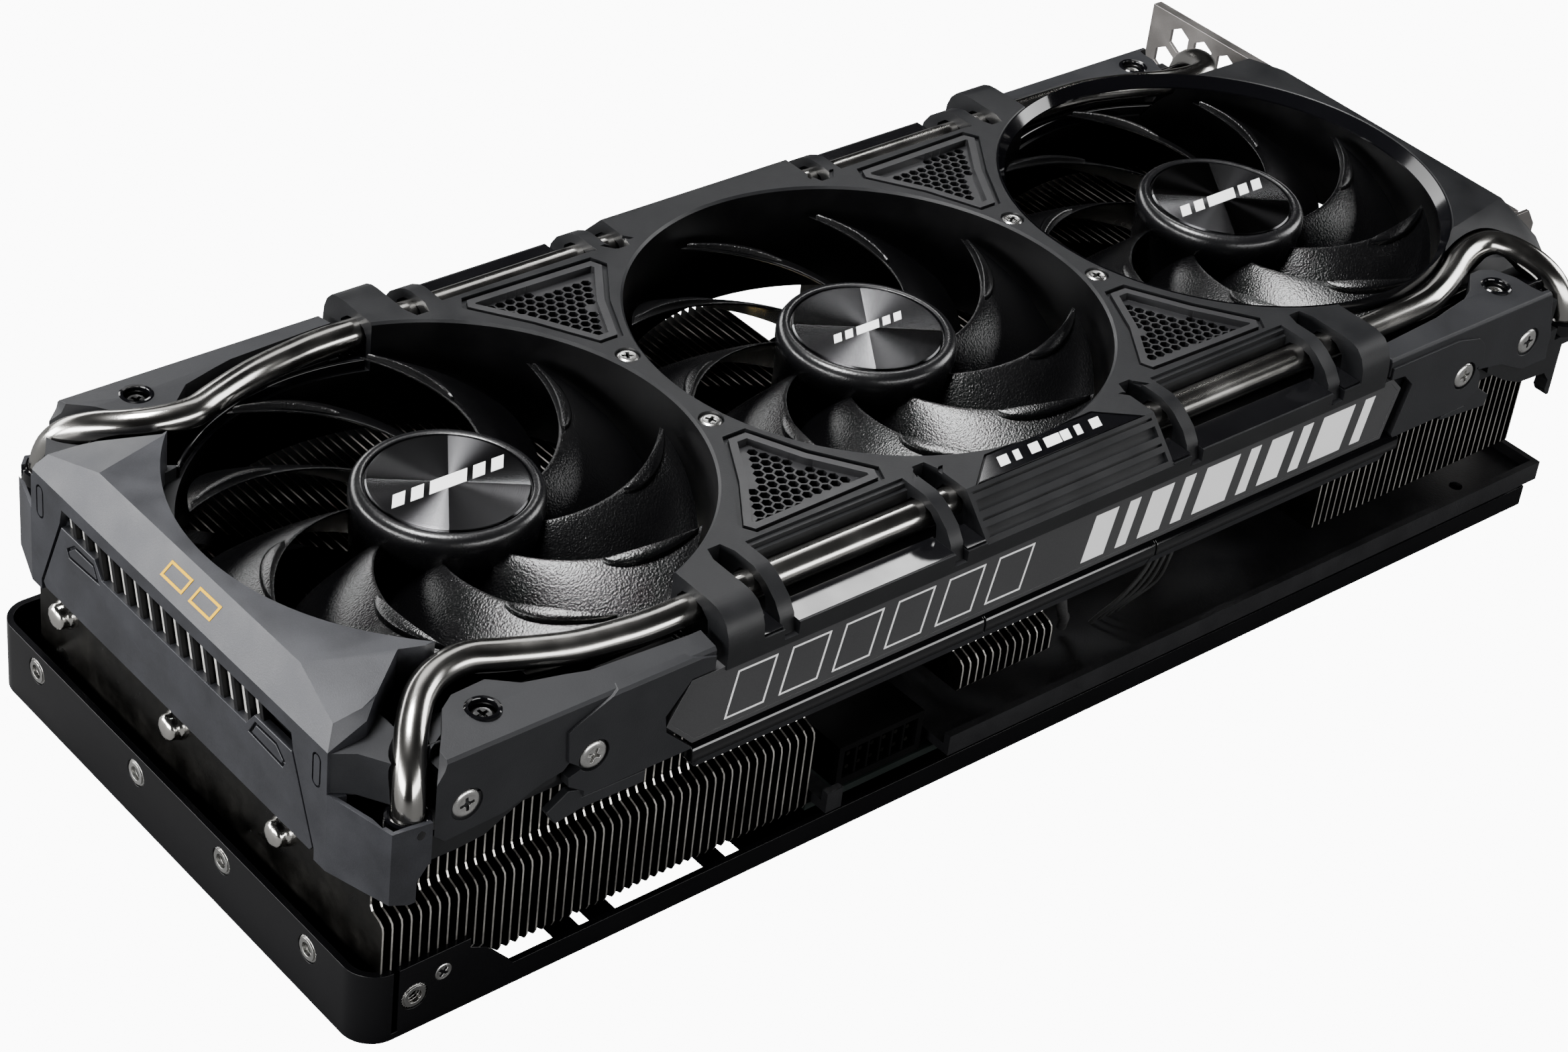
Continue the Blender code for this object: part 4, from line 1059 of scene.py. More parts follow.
def rail_knots(side):
    knots = [(-154.2, -60.0, 50.4), (-154.1, -60.0, 54.0), (-153.2, -58.8, 58.6), (-151.4, -56.0, 62.4),
             (-148.2, -52.0, 65.0), (-143.6, -47.6, 66.4), (-138.0, -44.8, 67.0), (-131.5, -44.2, 67.0),
             (-125.5, -46.4, 66.7), (-119.6, -48.7, 66.4), (-113.0, -50.8, 66.1), (-105.0, -52.2, RAIL_Z),
             (-97.0, -RAIL_Y, RAIL_Z), (-80.0, -RAIL_Y, RAIL_Z), (0.0, -RAIL_Y, RAIL_Z),
             (80.0, -RAIL_Y, RAIL_Z), (97.0, -RAIL_Y, RAIL_Z), (110.6, -52.7, 66.0), (118.0, -51.2, 66.1),
             (125.6, -48.3, 66.4), (132.0, -45.4, 66.8), (138.0, -43.8, 67.0), (143.4, -44.2, 66.9),
             (147.4, -47.6, 66.2), (150.0, -52.2, 64.6), (152.0, -56.4, 61.8), (153.4, -59.2, 57.6),
             (153.9, -59.9, 53.4), (154.0, -60.0, 50.6)]
    return [(x, side * -y, z) for x, y, z in knots]


LEDGE_SPANS = ((SLOT_IN, RIB_IN[0]), RIB_IN[1:] + RIB_OUT[:1], (RIB_OUT[1], ARCH_END))


def build_ledges():
    """Polished strips on the ledges outside the rails, between the arches and ribs."""
    strips = []
    for flip in SIDES:
        for low, high in LEDGE_SPANS:
            xs = sorted((flip * (low + 0.1), flip * (high - 0.1)))
            for side in SIDES:
                strips.append(prism_data(rectangle(xs, across(side, 57.6, 63.9)), "z", LEDGE_Z - 0.2,
                                         LEDGE_Z + 0.06))
    make("ledge_strips", *merge(strips), ledge_polish(), slot="gloss_plastic")


def build_rails():
    for side, name in zip(SIDES, ("front", "rear")):
        path = smooth_path(rail_knots(side), 5)
        rail = make(f"rail_tube_{name}", *tube_data(path, RAIL_R - 0.02, 32), rail_nickel(),
                    slot="rail_nickel", angle=50.0)
        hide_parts(f"rail_{name}")
        for end, x in (("tail", -154.1), ("bracket", 154.0)):
            cup = [(0.0, 50.2), (3.5, 50.2), (4.2, 50.6), (4.3, 51.6), (4.1, 53.2), (3.6, 53.6), (3.15, 53.4),
                   (3.1, 52.0), (0.0, 52.0)]
            make(f"rail_cup_{name}_{end}", *turned(x, side * 60.0, cup, 40), gloss_black(), slot="cap_paint",
                 angle=40.0)


def build_channels():
    """Glossy troughs that the rails run over beside the outer fans."""
    for end, axis_x, sign in (("tail", FANS[0], -1.0), ("bracket", FANS[2], 1.0)):
        for side, name in zip(SIDES, ("front", "rear")):
            rim = arc(axis_x, 0.0, FAN_OPENING_R + 0.4, -90.0 + sign * -17.0, -90.0 + sign * 45.0, 26)
            outer = [(sign * 150.0, -42.0), (sign * 150.0, -56.3), (sign * 90.0, -56.3)]
            plan = flipped([(x, y) for x, y in rim if abs(x) < 149.0] + outer, 1.0, -side)
            trough = prism(plan, "z", 59.6, 62.6)
            cut(trough, prism(flipped([(sign * 91.0, -55.4), (sign * 149.0, -55.4), (sign * 149.0, -49.6),
                                       (sign * 118.0, -51.0), (sign * 91.0, -51.4)], 1.0, -side),
                              "z", 61.0, TOP))
            release(trough, f"rail_channel_{name}_{end}", gloss_black(), slot="gloss_plastic", bevel=0.5)


# ---------------------------------------------------------------- tail cap

CAP_END_X = -163.2
CAP_CORNER_X = -160.2
CAP_CORNER_Y = {-1.0: 64.1, 1.0: 59.2}
CAP_EDGE_Y = 49.3
CAP_SLOPE = ((-163.2, 63.0), (-159.2, 71.0))     # foot and head of the sloping face, in X and Z
CAP_SIDES = {                    # facet corners beside the slope, front and rear
    -1.0: [(-159.2, -34.2, 71.0), (-161.1, -47.1, 67.3), (-155.0, -46.9, 67.9), (-155.0, -48.3, 66.0),
           (-145.4, -40.2, 70.6), (-138.4, -41.4, 70.7), (-138.4, -41.6, 69.0)],
    1.0: [(-159.2, 31.2, 71.0), (-161.2, 46.0, 67.0), (-153.6, 43.0, 68.6), (-153.6, 44.4, 66.0),
          (-142.0, 35.8, 71.0), (-138.4, 36.6, 70.8), (-138.4, 37.4, 69.0)]}
CAP_OPENING = [(-38.0, 60.0), (38.0, 60.0), (38.7, 56.6), (45.8, 39.4), (45.8, 30.0), (-45.8, 30.0),
               (-45.8, 39.4), (-38.7, 56.6)]
CAP_PANEL = [(-38.2, 56.0), (-26.6, 56.0), (-24.0, 52.6), (24.0, 52.6), (26.6, 56.0), (38.2, 56.0),
             (45.2, 39.2), (44.4, 38.2), (-44.4, 38.2), (-45.2, 39.2)]
CAP_SLIT = [(24.9, 51.2), (26.8, 54.6), (33.6, 54.6), (36.4, 52.2), (35.6, 50.6)]
VENT_PITCH = 4.45
VENT_FIRST = -29.6


def pocket_plan(side):
    """The open corner where a rail ends, between the shelf and the corner wall."""
    corner = [(-159.4, 63.3)] if side < 0 else [(-159.6, 58.9), (-155.8, 63.3)]
    plan = [(-162.1, 50.6)] + corner + [(-148.0, 63.3), (-148.0, 56.0), (-155.2, 57.0), (-158.8, 51.3)]
    return flipped(plan, 1.0, side)


def build_tail_cap():
    """Faceted painted cap round the tail fan, with a barred vent in its end face."""
    points = [(-120.0, side * 39.0, DECK_Z) for side in SIDES]
    for side in SIDES:
        points += CAP_SIDES[side] + [(CAP_END_X, side * CAP_EDGE_Y, 37.0), (-120.0, side * 44.0, 37.0),
                                     (CAP_END_X, side * (CAP_EDGE_Y - 0.4), 63.0)]
    cap = hull(points)
    cutters = []
    for side in SIDES:
        corner_y = CAP_CORNER_Y[side]
        add(cap, hull([(x, side * y, z) for x, y, z in (
            (CAP_END_X, 47.0, 38.6), (CAP_END_X, 47.0, 54.0), (CAP_END_X, CAP_EDGE_Y, 37.0),
            (CAP_END_X, CAP_EDGE_Y, 54.0), (CAP_CORNER_X, corner_y, 38.6), (CAP_CORNER_X, corner_y, 54.4),
            (-156.0, 64.2, 36.8), (-156.0, 64.2, 54.0), (-151.8, 64.2, 36.8), (-151.8, 64.2, 53.4),
            (-151.8, 47.0, 53.4), (-151.8, 47.0, 37.0))]))
        notch = [(-166.0, 49.6), (-155.0, 48.3), (-143.0, 39.8), (-138.3, 41.4), (-120.0, 41.4),
                 (-120.0, 70.0), (-166.0, 70.0)]
        if side > 0:
            notch = [(x, y - 3.6 * (x > -156.0)) for x, y in notch]
        cutters.append(prism(flipped(notch, 1.0, side), "z", 61.6, TOP))
        cutters.append(prism(pocket_plan(side), "z", 50.6, TOP))
        cutters.append(prism([(-154.6, 30.0), (-154.6, 41.2), (-152.4, 44.2), (-140.0, 44.2), (-140.0, 30.0)],
                             "y", *across(side, 50.0, 70.0)))
        pill = arc(side * 45.8, 59.6, 1.3, 0.0, 180.0, 14) + arc(side * 45.8, 54.8, 1.3, 180.0, 360.0, 14)
        groove = prism(pill, "x", CAP_END_X - 2.0, CAP_END_X + 0.7)
        cut(groove, prism(offset(pill, -0.42), "x", CAP_END_X - 3.0, CAP_END_X + 1.0))
        cutters.append(groove)
    cutters += [frustum(FANS[0], 0.0, TAIL_OPENING_R, 30.0, TAIL_OPENING_R, TOP, 160),
                block((-160.4, -100.0), (-61.6, 61.6), (30.0, FRAME_Z[1] + 0.3)),
                block((-151.8, -100.0), (-70.0, -48.4), (30.0, 60.4)),
                block((-151.8, -100.0), (48.4, 70.0), (30.0, 60.4)),
                prism(CAP_OPENING, "x", -170.0, CAP_END_X + 1.7),
                prism(CAP_OPENING[:3] + [(26.0, 52.2), (-26.0, 52.2)] + CAP_OPENING[-1:], "x", -170.0,
                      -158.0)]
    cut(cap, *cutters)
    shell = release(cap, "tail_cap_shell", cap_grey(), slot="cap_paint", bevel=0.28, angle=12.0)
    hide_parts("tail_cap")
    cap_shelf()
    cap_panel()
    vent_tabs()
    cap_mark()


def cap_shelf():
    """Dark shelf below the facets, from which each rail rises."""
    for side, name in zip(SIDES, ("front", "rear")):
        plan = [(-162.6, 46.5), (-162.6, 48.9), (-158.8, 51.3), (-155.2, 57.0), (-148.4, 57.4),
                (-139.0, 51.4), (-134.0, 49.0), (-122.0, 49.4), (-122.0, 40.0), (-148.0, 34.0)]
        shelf = prism(flipped(plan, 1.0, side), "z", 53.6, 62.6)
        path = smooth_path([(x, y, z + 0.2) for x, y, z in rail_knots(side)[1:9]], 5)
        cut(shelf, plain("work", *tube_data(path, 3.6, 28)),
            frustum(FANS[0], 0.0, FAN_OPENING_R + 1.0, 30.0, FAN_OPENING_R + 1.0, TOP, 160))
        release(shelf, f"cap_shelf_{name}", panel_black(), slot="cap_paint", bevel=0.4, angle=30.0)


def cap_panel():
    """Lower panel set in the opening of the end face, with a folded slit near each upper corner."""
    panel = prism(CAP_PANEL, "x", CAP_END_X, CAP_END_X + 1.8)
    for side in SIDES:
        slit = flipped(CAP_SLIT, side)
        groove = prism(slit, "x", CAP_END_X - 1.0, CAP_END_X + 0.9)
        cut(groove, prism(offset(slit, -0.55), "x", CAP_END_X - 2.0, CAP_END_X + 1.2))
        cut(panel, groove)
    release(panel, "tail_cap_panel", cap_grey(), slot="cap_paint", bevel=0.2, angle=14.0)


def vent_tabs():
    """Bright folded fin ends and the slim black bars between them, set back in the vent."""
    tabs, bars = [], []
    for k in range(15):
        low = VENT_FIRST + k * VENT_PITCH
        tabs.append(prism_data([(low + 1.1, 50.6), (low + 3.3, 50.6), (low + 5.1, 57.6), (low + 4.4, 58.3),
                                (low + 3.2, 58.0), (low + 2.3, 55.2)], "x", -161.6, -161.2))
        bars.append(prism_data([(low - 0.5, 51.0), (low + 0.75, 51.0), (low + 3.0, 60.2), (low + 1.7, 60.2)],
                               "x", -162.7, -160.6))
    make("vent_tabs", *merge(tabs), tab_metal(), slot="fin_metal")
    make("vent_bars", *merge(bars), inner_black(), slot="cap_paint", bevel=0.12)
    # A black sheet behind the vent stands in as painted shade for the dark space inside it.
    back = rectangle((-38.0, 38.0), (50.4, 60.2))
    make("vent_painted_shade", *prism_data(back, "x", -160.6, -160.2), inner_black(), slot="cap_paint")


def cap_mark():
    """Two small gold slanted frames on the sloping face."""
    foot, head = CAP_SLOPE
    slope = Vector((head[0] - foot[0], 0.0, head[1] - foot[1])).normalized()
    across = Vector((0.0, -1.0, 0.0))
    outward = slope.cross(across)
    outward = outward if outward.x < 0 else -outward
    corner = Vector((foot[0], 0.0, foot[1])) + slope * 4.5
    parts = []
    for centre in (-4.6, 4.6):
        outer = leaning(centre - 4.2, centre + 2.8, -1.9, 1.9, 1.4)
        parts.append(frame_data(outer, 0.55, 0.12, corner + across * 3.0, across, slope, outward))
    make("cap_mark", *merge(parts), gold_mark(), slot="cap_paint")


# ---------------------------------------------------------------- screws

def screw(name, centre, normal, radius, look=None):
    """A cross-recess screw head: its centre is the middle of its face, and the normal points outwards."""
    profile = [(0.0, -1.0), (radius, -1.0), (radius, -0.35), (radius - 0.25, -0.08), (radius * 0.72, 0.1),
               (radius * 0.66, 0.06), (0.0, 0.06)]
    points, faces = turned(0.0, 0.0, profile, 40)
    reach, half = radius * 0.52, 0.32
    cross, corner = [], [(reach, half), (half, half), (half, reach)]
    for _ in range(4):
        cross += corner
        corner = [(-y, x) for x, y in corner]
    recesses = [prism_data(cross, "z", -0.75, 1.0),
                prism_data(ring_points(0.0, 0.0, radius * 0.24, 16, 11.0), "z", -0.85, 1.1)]
    spin = Matrix.Rotation(random.uniform(0.0, math.pi), 4, "Z")
    turn = Vector(normal).to_track_quat("Z", "Y").to_matrix().to_4x4() @ spin
    centre = Vector(centre)

    def placed(data):
        return [tuple(centre + (turn @ Vector(p).to_4d()).to_3d()) for p in data[0]], data[1]

    head = plain("work", *placed((points, faces)))
    cut(head, *[plain("work", *placed(recess)) for recess in recesses])
    return release(head, name, look or steel(), slot="screw_steel", bevel=0.06, angle=35.0, dissolve=0.3)


def washer_ring(name, centre, radius, look):
    """A shallow dark collar round a sunk screw."""
    x, y, z = centre
    profile = [(radius, z - 0.7), (radius + 0.9, z - 0.7), (radius + 0.9, z + 0.35), (radius + 0.6, z + 0.55),
               (radius + 0.15, z + 0.45), (radius, z + 0.2)]
    return make(name, *turned(x, y, profile, 40), look, slot="panel_plastic", angle=40.0)


def build_screws():
    for index, (x, y) in enumerate(BRIDGE_SCREWS, 1):
        head = screw(f"bridge_screw_head_{index}", (x, y, DECK_Z - 0.25), (0, 0, 1), 2.3)
        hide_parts(f"bridge_screw_{index}")
    for side, name in zip(SIDES, ("front", "rear")):
        for index, (x, z) in enumerate(PANEL_SCREWS, 1):
            face = 63.5 if abs(x) > 130.0 or side > 0 else 64.1
            screw(f"panel_screw_{name}_{index}", (x, side * face, z), (0, side, 0), 2.9)
        for index, (x, y) in enumerate(DECK_SCREWS, 1):
            look = screw_dark() if x < 0 else steel()
            screw(f"deck_screw_{name}_{index}", (x, side * y, 64.7), (0.0, 0.0, 1.0), 2.3, look)
            washer_ring(f"deck_collar_{name}_{index}", (x, side * y, 65.75), 2.45, gloss_black())


# ---------------------------------------------------------------- side trim

SIDE_DECK = [(-64.4, 44.0), (-64.4, 64.4), (-63.9, 65.0), (-56.2, 66.1), (-45.0, 66.1), (-45.0, 59.8),
             (-61.6, 59.8), (-61.6, 44.0)]
DECK_TAIL = [(-151.4, 66.0), (-151.4, 64.0), (-146.0, 57.4), (-142.6, 52.6), (-139.0, 50.2), (-131.6, 49.8),
             (-126.8, 54.0), (-114.6, 57.4), (-94.0, 58.6), (-80.0, 58.6), (-80.0, 66.0)]
DECK_BRACKET = [(147.6, 66.0), (147.6, 62.4), (140.8, 62.0), (139.8, 59.9), (138.6, 55.0), (136.9, 51.1),
                (134.1, 49.6), (131.0, 49.6), (125.4, 54.2), (121.7, 55.9), (110.6, 57.6), (94.0, 58.6),
                (80.0, 58.6), (80.0, 66.0)]
DECK_CLIP = [(-170.0, 66.0), (-170.0, 61.9), (170.0, 61.9), (170.0, 66.0)]
PANEL_SCREWS = ((-144.3, 53.5), (-117.4, 52.6), (117.0, 52.5), (138.4, 53.8))
DECK_PLAIN = [(-170.0, 66.0), (-170.0, 57.0), (170.0, 57.0), (170.0, 66.0)]
DECK_SCREWS = ((-136.4, 56.0), (132.2, 56.0))


def side_panel(name, outline, side, look, plan, node=None, sunk=0.0, bevel=0.3):
    """A moulded side panel: an outline in X and Z, a plan, and the deck's side profile, intersected."""
    body = prism(outline, "y", *across(side, 40.0, 66.0))
    profile = [(side * -(y + (sunk if y < -62.0 else 0.0)), z) for y, z in SIDE_DECK]
    combine(body, [prism(profile, "x", -170.0, 170.0)], "INTERSECT")
    combine(body, [prism(flipped(plan, 1.0, side), "z", 30.0, 90.0)], "INTERSECT")
    cut(body, *[frustum(x, side * y, 2.9, 63.6, 3.1, 70.0, 48) for x, y in DECK_SCREWS],
        *[prism(ring_points(x, z, 3.35, 40), "y", *across(side, 62.8, 66.0)) for x, z in PANEL_SCREWS])
    panel = release(body, name, look, slot="panel_plastic", bevel=bevel, angle=24.0)
    if node:
        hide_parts(node)
    return panel


CORNER_TAIL = [(-151.0, 49.4), (-151.0, 60.5), (-149.4, 63.0), (-147.6, 70.0), (-90.6, 70.0), (-90.6, 60.6),
               (-103.2, 60.6), (-120.0, 55.0), (-123.7, 51.4), (-127.8, 50.8), (-135.7, 47.9), (-148.6, 47.2)]
CLIP_TAIL = [(-123.5, 60.2), (-123.0, 53.4), (-120.5, 51.5), (-119.8, 50.8), (-122.9, 49.9), (-122.6, 47.7),
             (-119.0, 45.2), (-119.0, 43.6), (-111.8, 43.5), (-109.7, 42.8), (-104.4, 41.4), (-94.9, 40.6),
             (-94.5, 44.2), (-101.0, 50.4), (-101.6, 54.3), (-96.2, 60.6), (-91.0, 60.6), (-91.0, 63.6),
             (-100.0, 66.0), (-108.6, 66.8), (-121.9, 61.2)]
TAB_TAIL = [(-121.9, 46.0), (-126.6, 43.0), (-124.4, 39.5), (-118.7, 40.5), (-104.5, 40.2), (-104.5, 43.0),
            (-118.6, 43.2), (-118.8, 45.0)]
CORNER_BRACKET = [(147.1, 46.4), (146.6, 51.0), (146.9, 52.2), (143.2, 63.8), (141.6, 70.0), (90.6, 70.0),
                  (90.6, 60.6), (110.0, 60.6), (119.4, 60.9), (121.2, 58.9), (122.2, 54.6), (122.0, 52.0),
                  (129.9, 50.7), (138.6, 46.6)]
CLIP_BRACKET = [(98.9, 40.4), (102.5, 40.6), (112.7, 41.9), (113.0, 43.6), (120.2, 43.8), (119.8, 45.6),
                (123.3, 47.2), (122.4, 51.4), (120.7, 53.2), (122.6, 54.6), (121.6, 58.9), (119.2, 61.3),
                (112.0, 63.0), (91.0, 63.0), (91.0, 60.2), (95.3, 59.8), (98.6, 56.6), (95.4, 45.0)]
TAB_BRACKET = [(113.0, 42.0), (128.1, 40.6), (128.8, 43.3), (123.7, 47.0), (120.4, 45.4), (120.6, 43.2),
               (113.2, 43.1)]


def build_side_trim():
    look = panel_black()
    side_panel("corner_trim_tail", CORNER_TAIL, -1.0, look, DECK_TAIL, "corner_panel_tail", sunk=0.9)
    side_panel("clip_trim_tail", CLIP_TAIL, -1.0, look, DECK_CLIP, "clip_panel_tail", sunk=0.3)
    side_panel("corner_trim_bracket", CORNER_BRACKET, -1.0, look, DECK_BRACKET, "corner_panel_bracket",
               sunk=0.9)
    side_panel("clip_trim_bracket", CLIP_BRACKET, -1.0, look, DECK_CLIP, "clip_panel_bracket", sunk=0.3)
    side_panel("rear_corner_tail", CORNER_TAIL, 1.0, look, DECK_TAIL, sunk=0.9)
    side_panel("rear_corner_bracket", CORNER_BRACKET, 1.0, look, DECK_BRACKET, sunk=0.9)
    for end, tab in (("tail", TAB_TAIL), ("bracket", TAB_BRACKET)):
        make(f"clip_tab_{end}", *prism_data(tab, "y", -63.4, -61.7), look, slot="panel_plastic", bevel=0.25)
    strip = [(-123.0, 50.6), (-119.6, 46.6), (119.6, 46.6), (122.0, 53.4), (110.0, 60.2), (-103.4, 60.2),
             (-119.6, 54.6)]
    side_panel("rear_side_strip", strip, 1.0, look, DECK_PLAIN)


PLATE_Y = -63.95               # printed face of the logo plate
BAR_GAP = 3.2


def build_logo_plate():
    outline = [(-101.2, 51.7), (-94.6, 45.2), (91.8, 45.2), (94.9, 57.0), (91.6, 60.2), (-96.2, 60.2)]
    plate = prism(outline, "y", PLATE_Y - 0.1, -61.7)
    cut(plate, prism(offset(outline, -0.9), "y", -66.0, PLATE_Y))
    shell = release(plate, "side_plate", plate_grey(), slot="plate_metal", bevel=0.12)
    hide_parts("logo_plate")
    right, up, outward = Vector((1, 0, 0)), Vector((0, 0, 1)), Vector((0, -1, 0))
    frames = []
    for k in range(6):
        low = -87.4 + 12.9 * k
        shape = leaning(low, low + 9.4, 47.4, 57.8, 2.2)
        frames.append(frame_data(shape, 0.42, 0.05, Vector((0, PLATE_Y, 0)), right, up, outward))
    make("side_mark_outlined", *merge(frames), white_mark(), slot="plate_metal")
    bars = []
    low = 3.0
    for width in (6.2, 3.0, 6.2, 3.0, 9.6, 3.0, 6.2, 3.0, 9.6, 3.0):
        bars.append(prism_data(leaning(low, low + width, 47.2, 57.8, 2.2), "y", PLATE_Y - 0.05,
                               PLATE_Y + 0.02))
        low += width + BAR_GAP
    make("side_mark_solid", *merge(bars), white_mark(), slot="plate_metal")


LIGHT_BARS = (("light_bar_tail", -94.4, -22.1), ("light_bar_middle", -21.8, 24.9),
              ("light_bar_bracket", 25.2, 98.2))


def build_light_bars():
    """Glossy bar in three lengths under the side plate, with a duller strip below it."""
    profile = [(-64.4, 40.8), (-64.4, 42.5), (-64.1, 43.5), (-63.3, 44.2), (-62.2, 44.5), (-61.4, 44.5),
               (-61.4, 40.3), (-63.9, 40.3)]
    for node, low, high in LIGHT_BARS:
        piece = release(prism(profile, "x", low, high), node + "_lens", gloss_black(), slot="gloss_plastic",
                        bevel=0.25, angle=48.0)
        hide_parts(node)
    lower = [(-63.6, 40.2), (-61.2, 40.2), (-61.2, 46.2), (-59.8, 46.2), (-59.8, 37.2), (-62.4, 37.2)]
    for index, (low, high) in enumerate(((-92.0, 24.9), (25.2, 96.0)), 1):
        release(prism(lower, "x", low, high), f"light_bar_carrier_{index}", panel_black(),
                slot="panel_plastic", bevel=0.3)


# ---------------------------------------------------------------- backplate tray

TRAY_X = (-161.0, 159.5)
TRAY_Y = (-59.3, 68.8)
TRAY_FLOOR = 1.6
TRAY_WALL = 1.4
TRAY_TOP = 16.2
TRAY_LIP = 5.2
TRAY_R = 6.5
TAIL_SEATS_Y = (-41.6, -13.4, 16.2, 52.6)
TAIL_SEAT_Z = 11.6
FRONT_SEAT = (-149.9, 8.4)
INSERT_R = 2.8
INSERT_BORE_R = 1.45
SEAT_R = INSERT_R + 0.05
VENT_COLUMNS = ((-126.6, -114.5), (-109.3, -106.0), (-100.8, -78.5), (-74.0, -69.5))
VENT_ROWS = ((-56.5, -12.0), (-6.0, 46.0))
GROOVES_Y = (-36.0, -2.0, 32.0)
TRAY_SCREWS = ((-90.0, 57.0), (-20.0, -48.0), (60.0, -48.0), (60.0, 57.0), (128.0, 57.0), (-140.0, 57.0),
               (-140.0, -48.0))


def tray_plan(inset):
    """Plan of the tray with rounded tail corners."""
    x0, x1 = TRAY_X[0] + inset, TRAY_X[1] + (6.0 if inset else 0.0)
    y0, y1 = TRAY_Y[0] + inset, TRAY_Y[1] - inset
    r = TRAY_R - inset
    return (arc(x0 + r, y0 + r, r, 180.0, 270.0, 14) + [(x1, y0), (x1, y1)]
            + arc(x0 + r, y1 - r, r, 90.0, 180.0, 14))


def rounded_slot(xs, ys, radius):
    return (arc(xs[0] + radius, ys[0] + radius, radius, 180.0, 270.0, 6)
            + arc(xs[1] - radius, ys[0] + radius, radius, 270.0, 360.0, 6)
            + arc(xs[1] - radius, ys[1] - radius, radius, 0.0, 90.0, 6)
            + arc(xs[0] + radius, ys[1] - radius, radius, 90.0, 180.0, 6))


def build_tray():
    """Pressed backplate: deep flange round the tail, low lip along the sides, vents under the fins."""
    tray = prism(tray_plan(0.0), "z", 0.0, TRAY_TOP)
    step = [(-138.0, 30.0), (-138.0, 14.0), (-134.4, 12.2), (-128.0, TRAY_LIP), (TRAY_X[1] + 5.0, TRAY_LIP),
            (TRAY_X[1] + 5.0, 30.0)]
    cutters = [prism(tray_plan(TRAY_WALL), "z", TRAY_FLOOR, 40.0),
               prism(step, "y", TRAY_Y[0] - 5.0, TRAY_Y[1] + 5.0),
               block((-154.6, -153.4), (TRAY_Y[0] - 2.0, TRAY_Y[0] + 2.0), (TRAY_FLOOR, 30.0))]
    for low, high in VENT_COLUMNS:
        for near, far in VENT_ROWS:
            cutters.append(prism(rounded_slot((low, high), (near, far), 1.5), "z", -3.0, TRAY_FLOOR + 2.0))
    for y in TAIL_SEATS_Y:
        cutters.append(prism(ring_points(y, TAIL_SEAT_Z, SEAT_R, 24), "x", TRAY_X[0] - 2.0, TRAY_X[0] + 3.0))
    cutters.append(prism(ring_points(*FRONT_SEAT, SEAT_R, 24), "y", TRAY_Y[0] - 2.0, TRAY_Y[0] + 3.0))
    for y in GROOVES_Y:
        groove = [(-40.0, y), (112.0, y), (124.0, y + 12.0), (124.0, y + 13.6), (111.4, y + 1.2),
                  (-40.0, y + 1.2)]
        cutters.append(prism(groove, "z", -1.0, 0.5))
    cut(tray, *cutters)
    shell = release(tray, "backplate_tray", tray_black(), slot="tray_paint", bevel=0.35, angle=32.0)
    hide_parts("backplate")
    strip = rectangle((-159.2, -158.9), (-50.0, 60.0))
    make("tray_tail_strip", *prism_data(strip, "z", 3.0, 13.4), gloss_black(), slot="tray_paint")
    for index, (x, y) in enumerate(TRAY_SCREWS, 1):
        screw(f"tray_screw_{index}", (x, y, 0.15), (0, 0, -1), 2.6)


def knurled(name, centre, axis, node):
    """Pressed-in threaded insert with a toothed rim."""
    teeth = 26
    rim = []
    for k in range(teeth * 2):
        radius = INSERT_R if k % 2 else INSERT_R - 0.3
        turn = 2.0 * math.pi * k / (teeth * 2)
        rim.append((radius * math.cos(turn), radius * math.sin(turn)))

    def solid(outline, low, high):
        return plain("work", *lay(prism_data(outline, "z", low, high), axis, centre))

    item = solid(rim, 0.0, 2.4)
    add(item, solid(ring_points(0.0, 0.0, INSERT_R - 0.5, 32), -0.35, 0.5))
    cut(item, solid(ring_points(0.0, 0.0, INSERT_BORE_R, 24), -3.0, 6.0))
    for k in range(3):
        thread = ring_points(0.0, 0.0, INSERT_BORE_R + 0.15, 24)
        cut(item, solid(thread, 0.3 + 0.6 * k, 0.55 + 0.6 * k))
    piece = release(item, name, steel(), slot="screw_steel", bevel=0.07, dissolve=0.3)
    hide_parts(node)


def build_inserts():
    for index, y in enumerate(TAIL_SEATS_Y, 1):
        knurled(f"knurled_insert_{index}", (TRAY_X[0] + 0.2, y, TAIL_SEAT_Z), "x", f"threaded_insert_{index}")
    item_centre = (FRONT_SEAT[0], TRAY_Y[0] + 0.2, FRONT_SEAT[1])
    knurled("knurled_insert_5", item_centre, "front", "threaded_insert_5")
    screw("tray_corner_screw", (-143.8, TRAY_Y[0], 11.1), (0, -1, 0), 2.2)


# ---------------------------------------------------------------- bracket, ports and board

BRACKET_X = (165.6, 166.5)
BRACKET_Y = (-33.3, 81.5)
BRACKET_Z = (2.6, 62.5)
BRACKET_FLANGE_X = 168.2
BRACKET_TAB_X = 175.4
PORT_Y = (-12.0, 8.5, 29.0, 49.5)
PORT_Z = (9.7, 15.5)
BRACKET_HEX_R = 3.3
BRACKET_HEX_FIRST = (-26.0, 23.2)
BRACKET_HEX_STEP = (7.8, 6.75)
BRACKET_HEX_SPAN = (-29.0, 78.0)


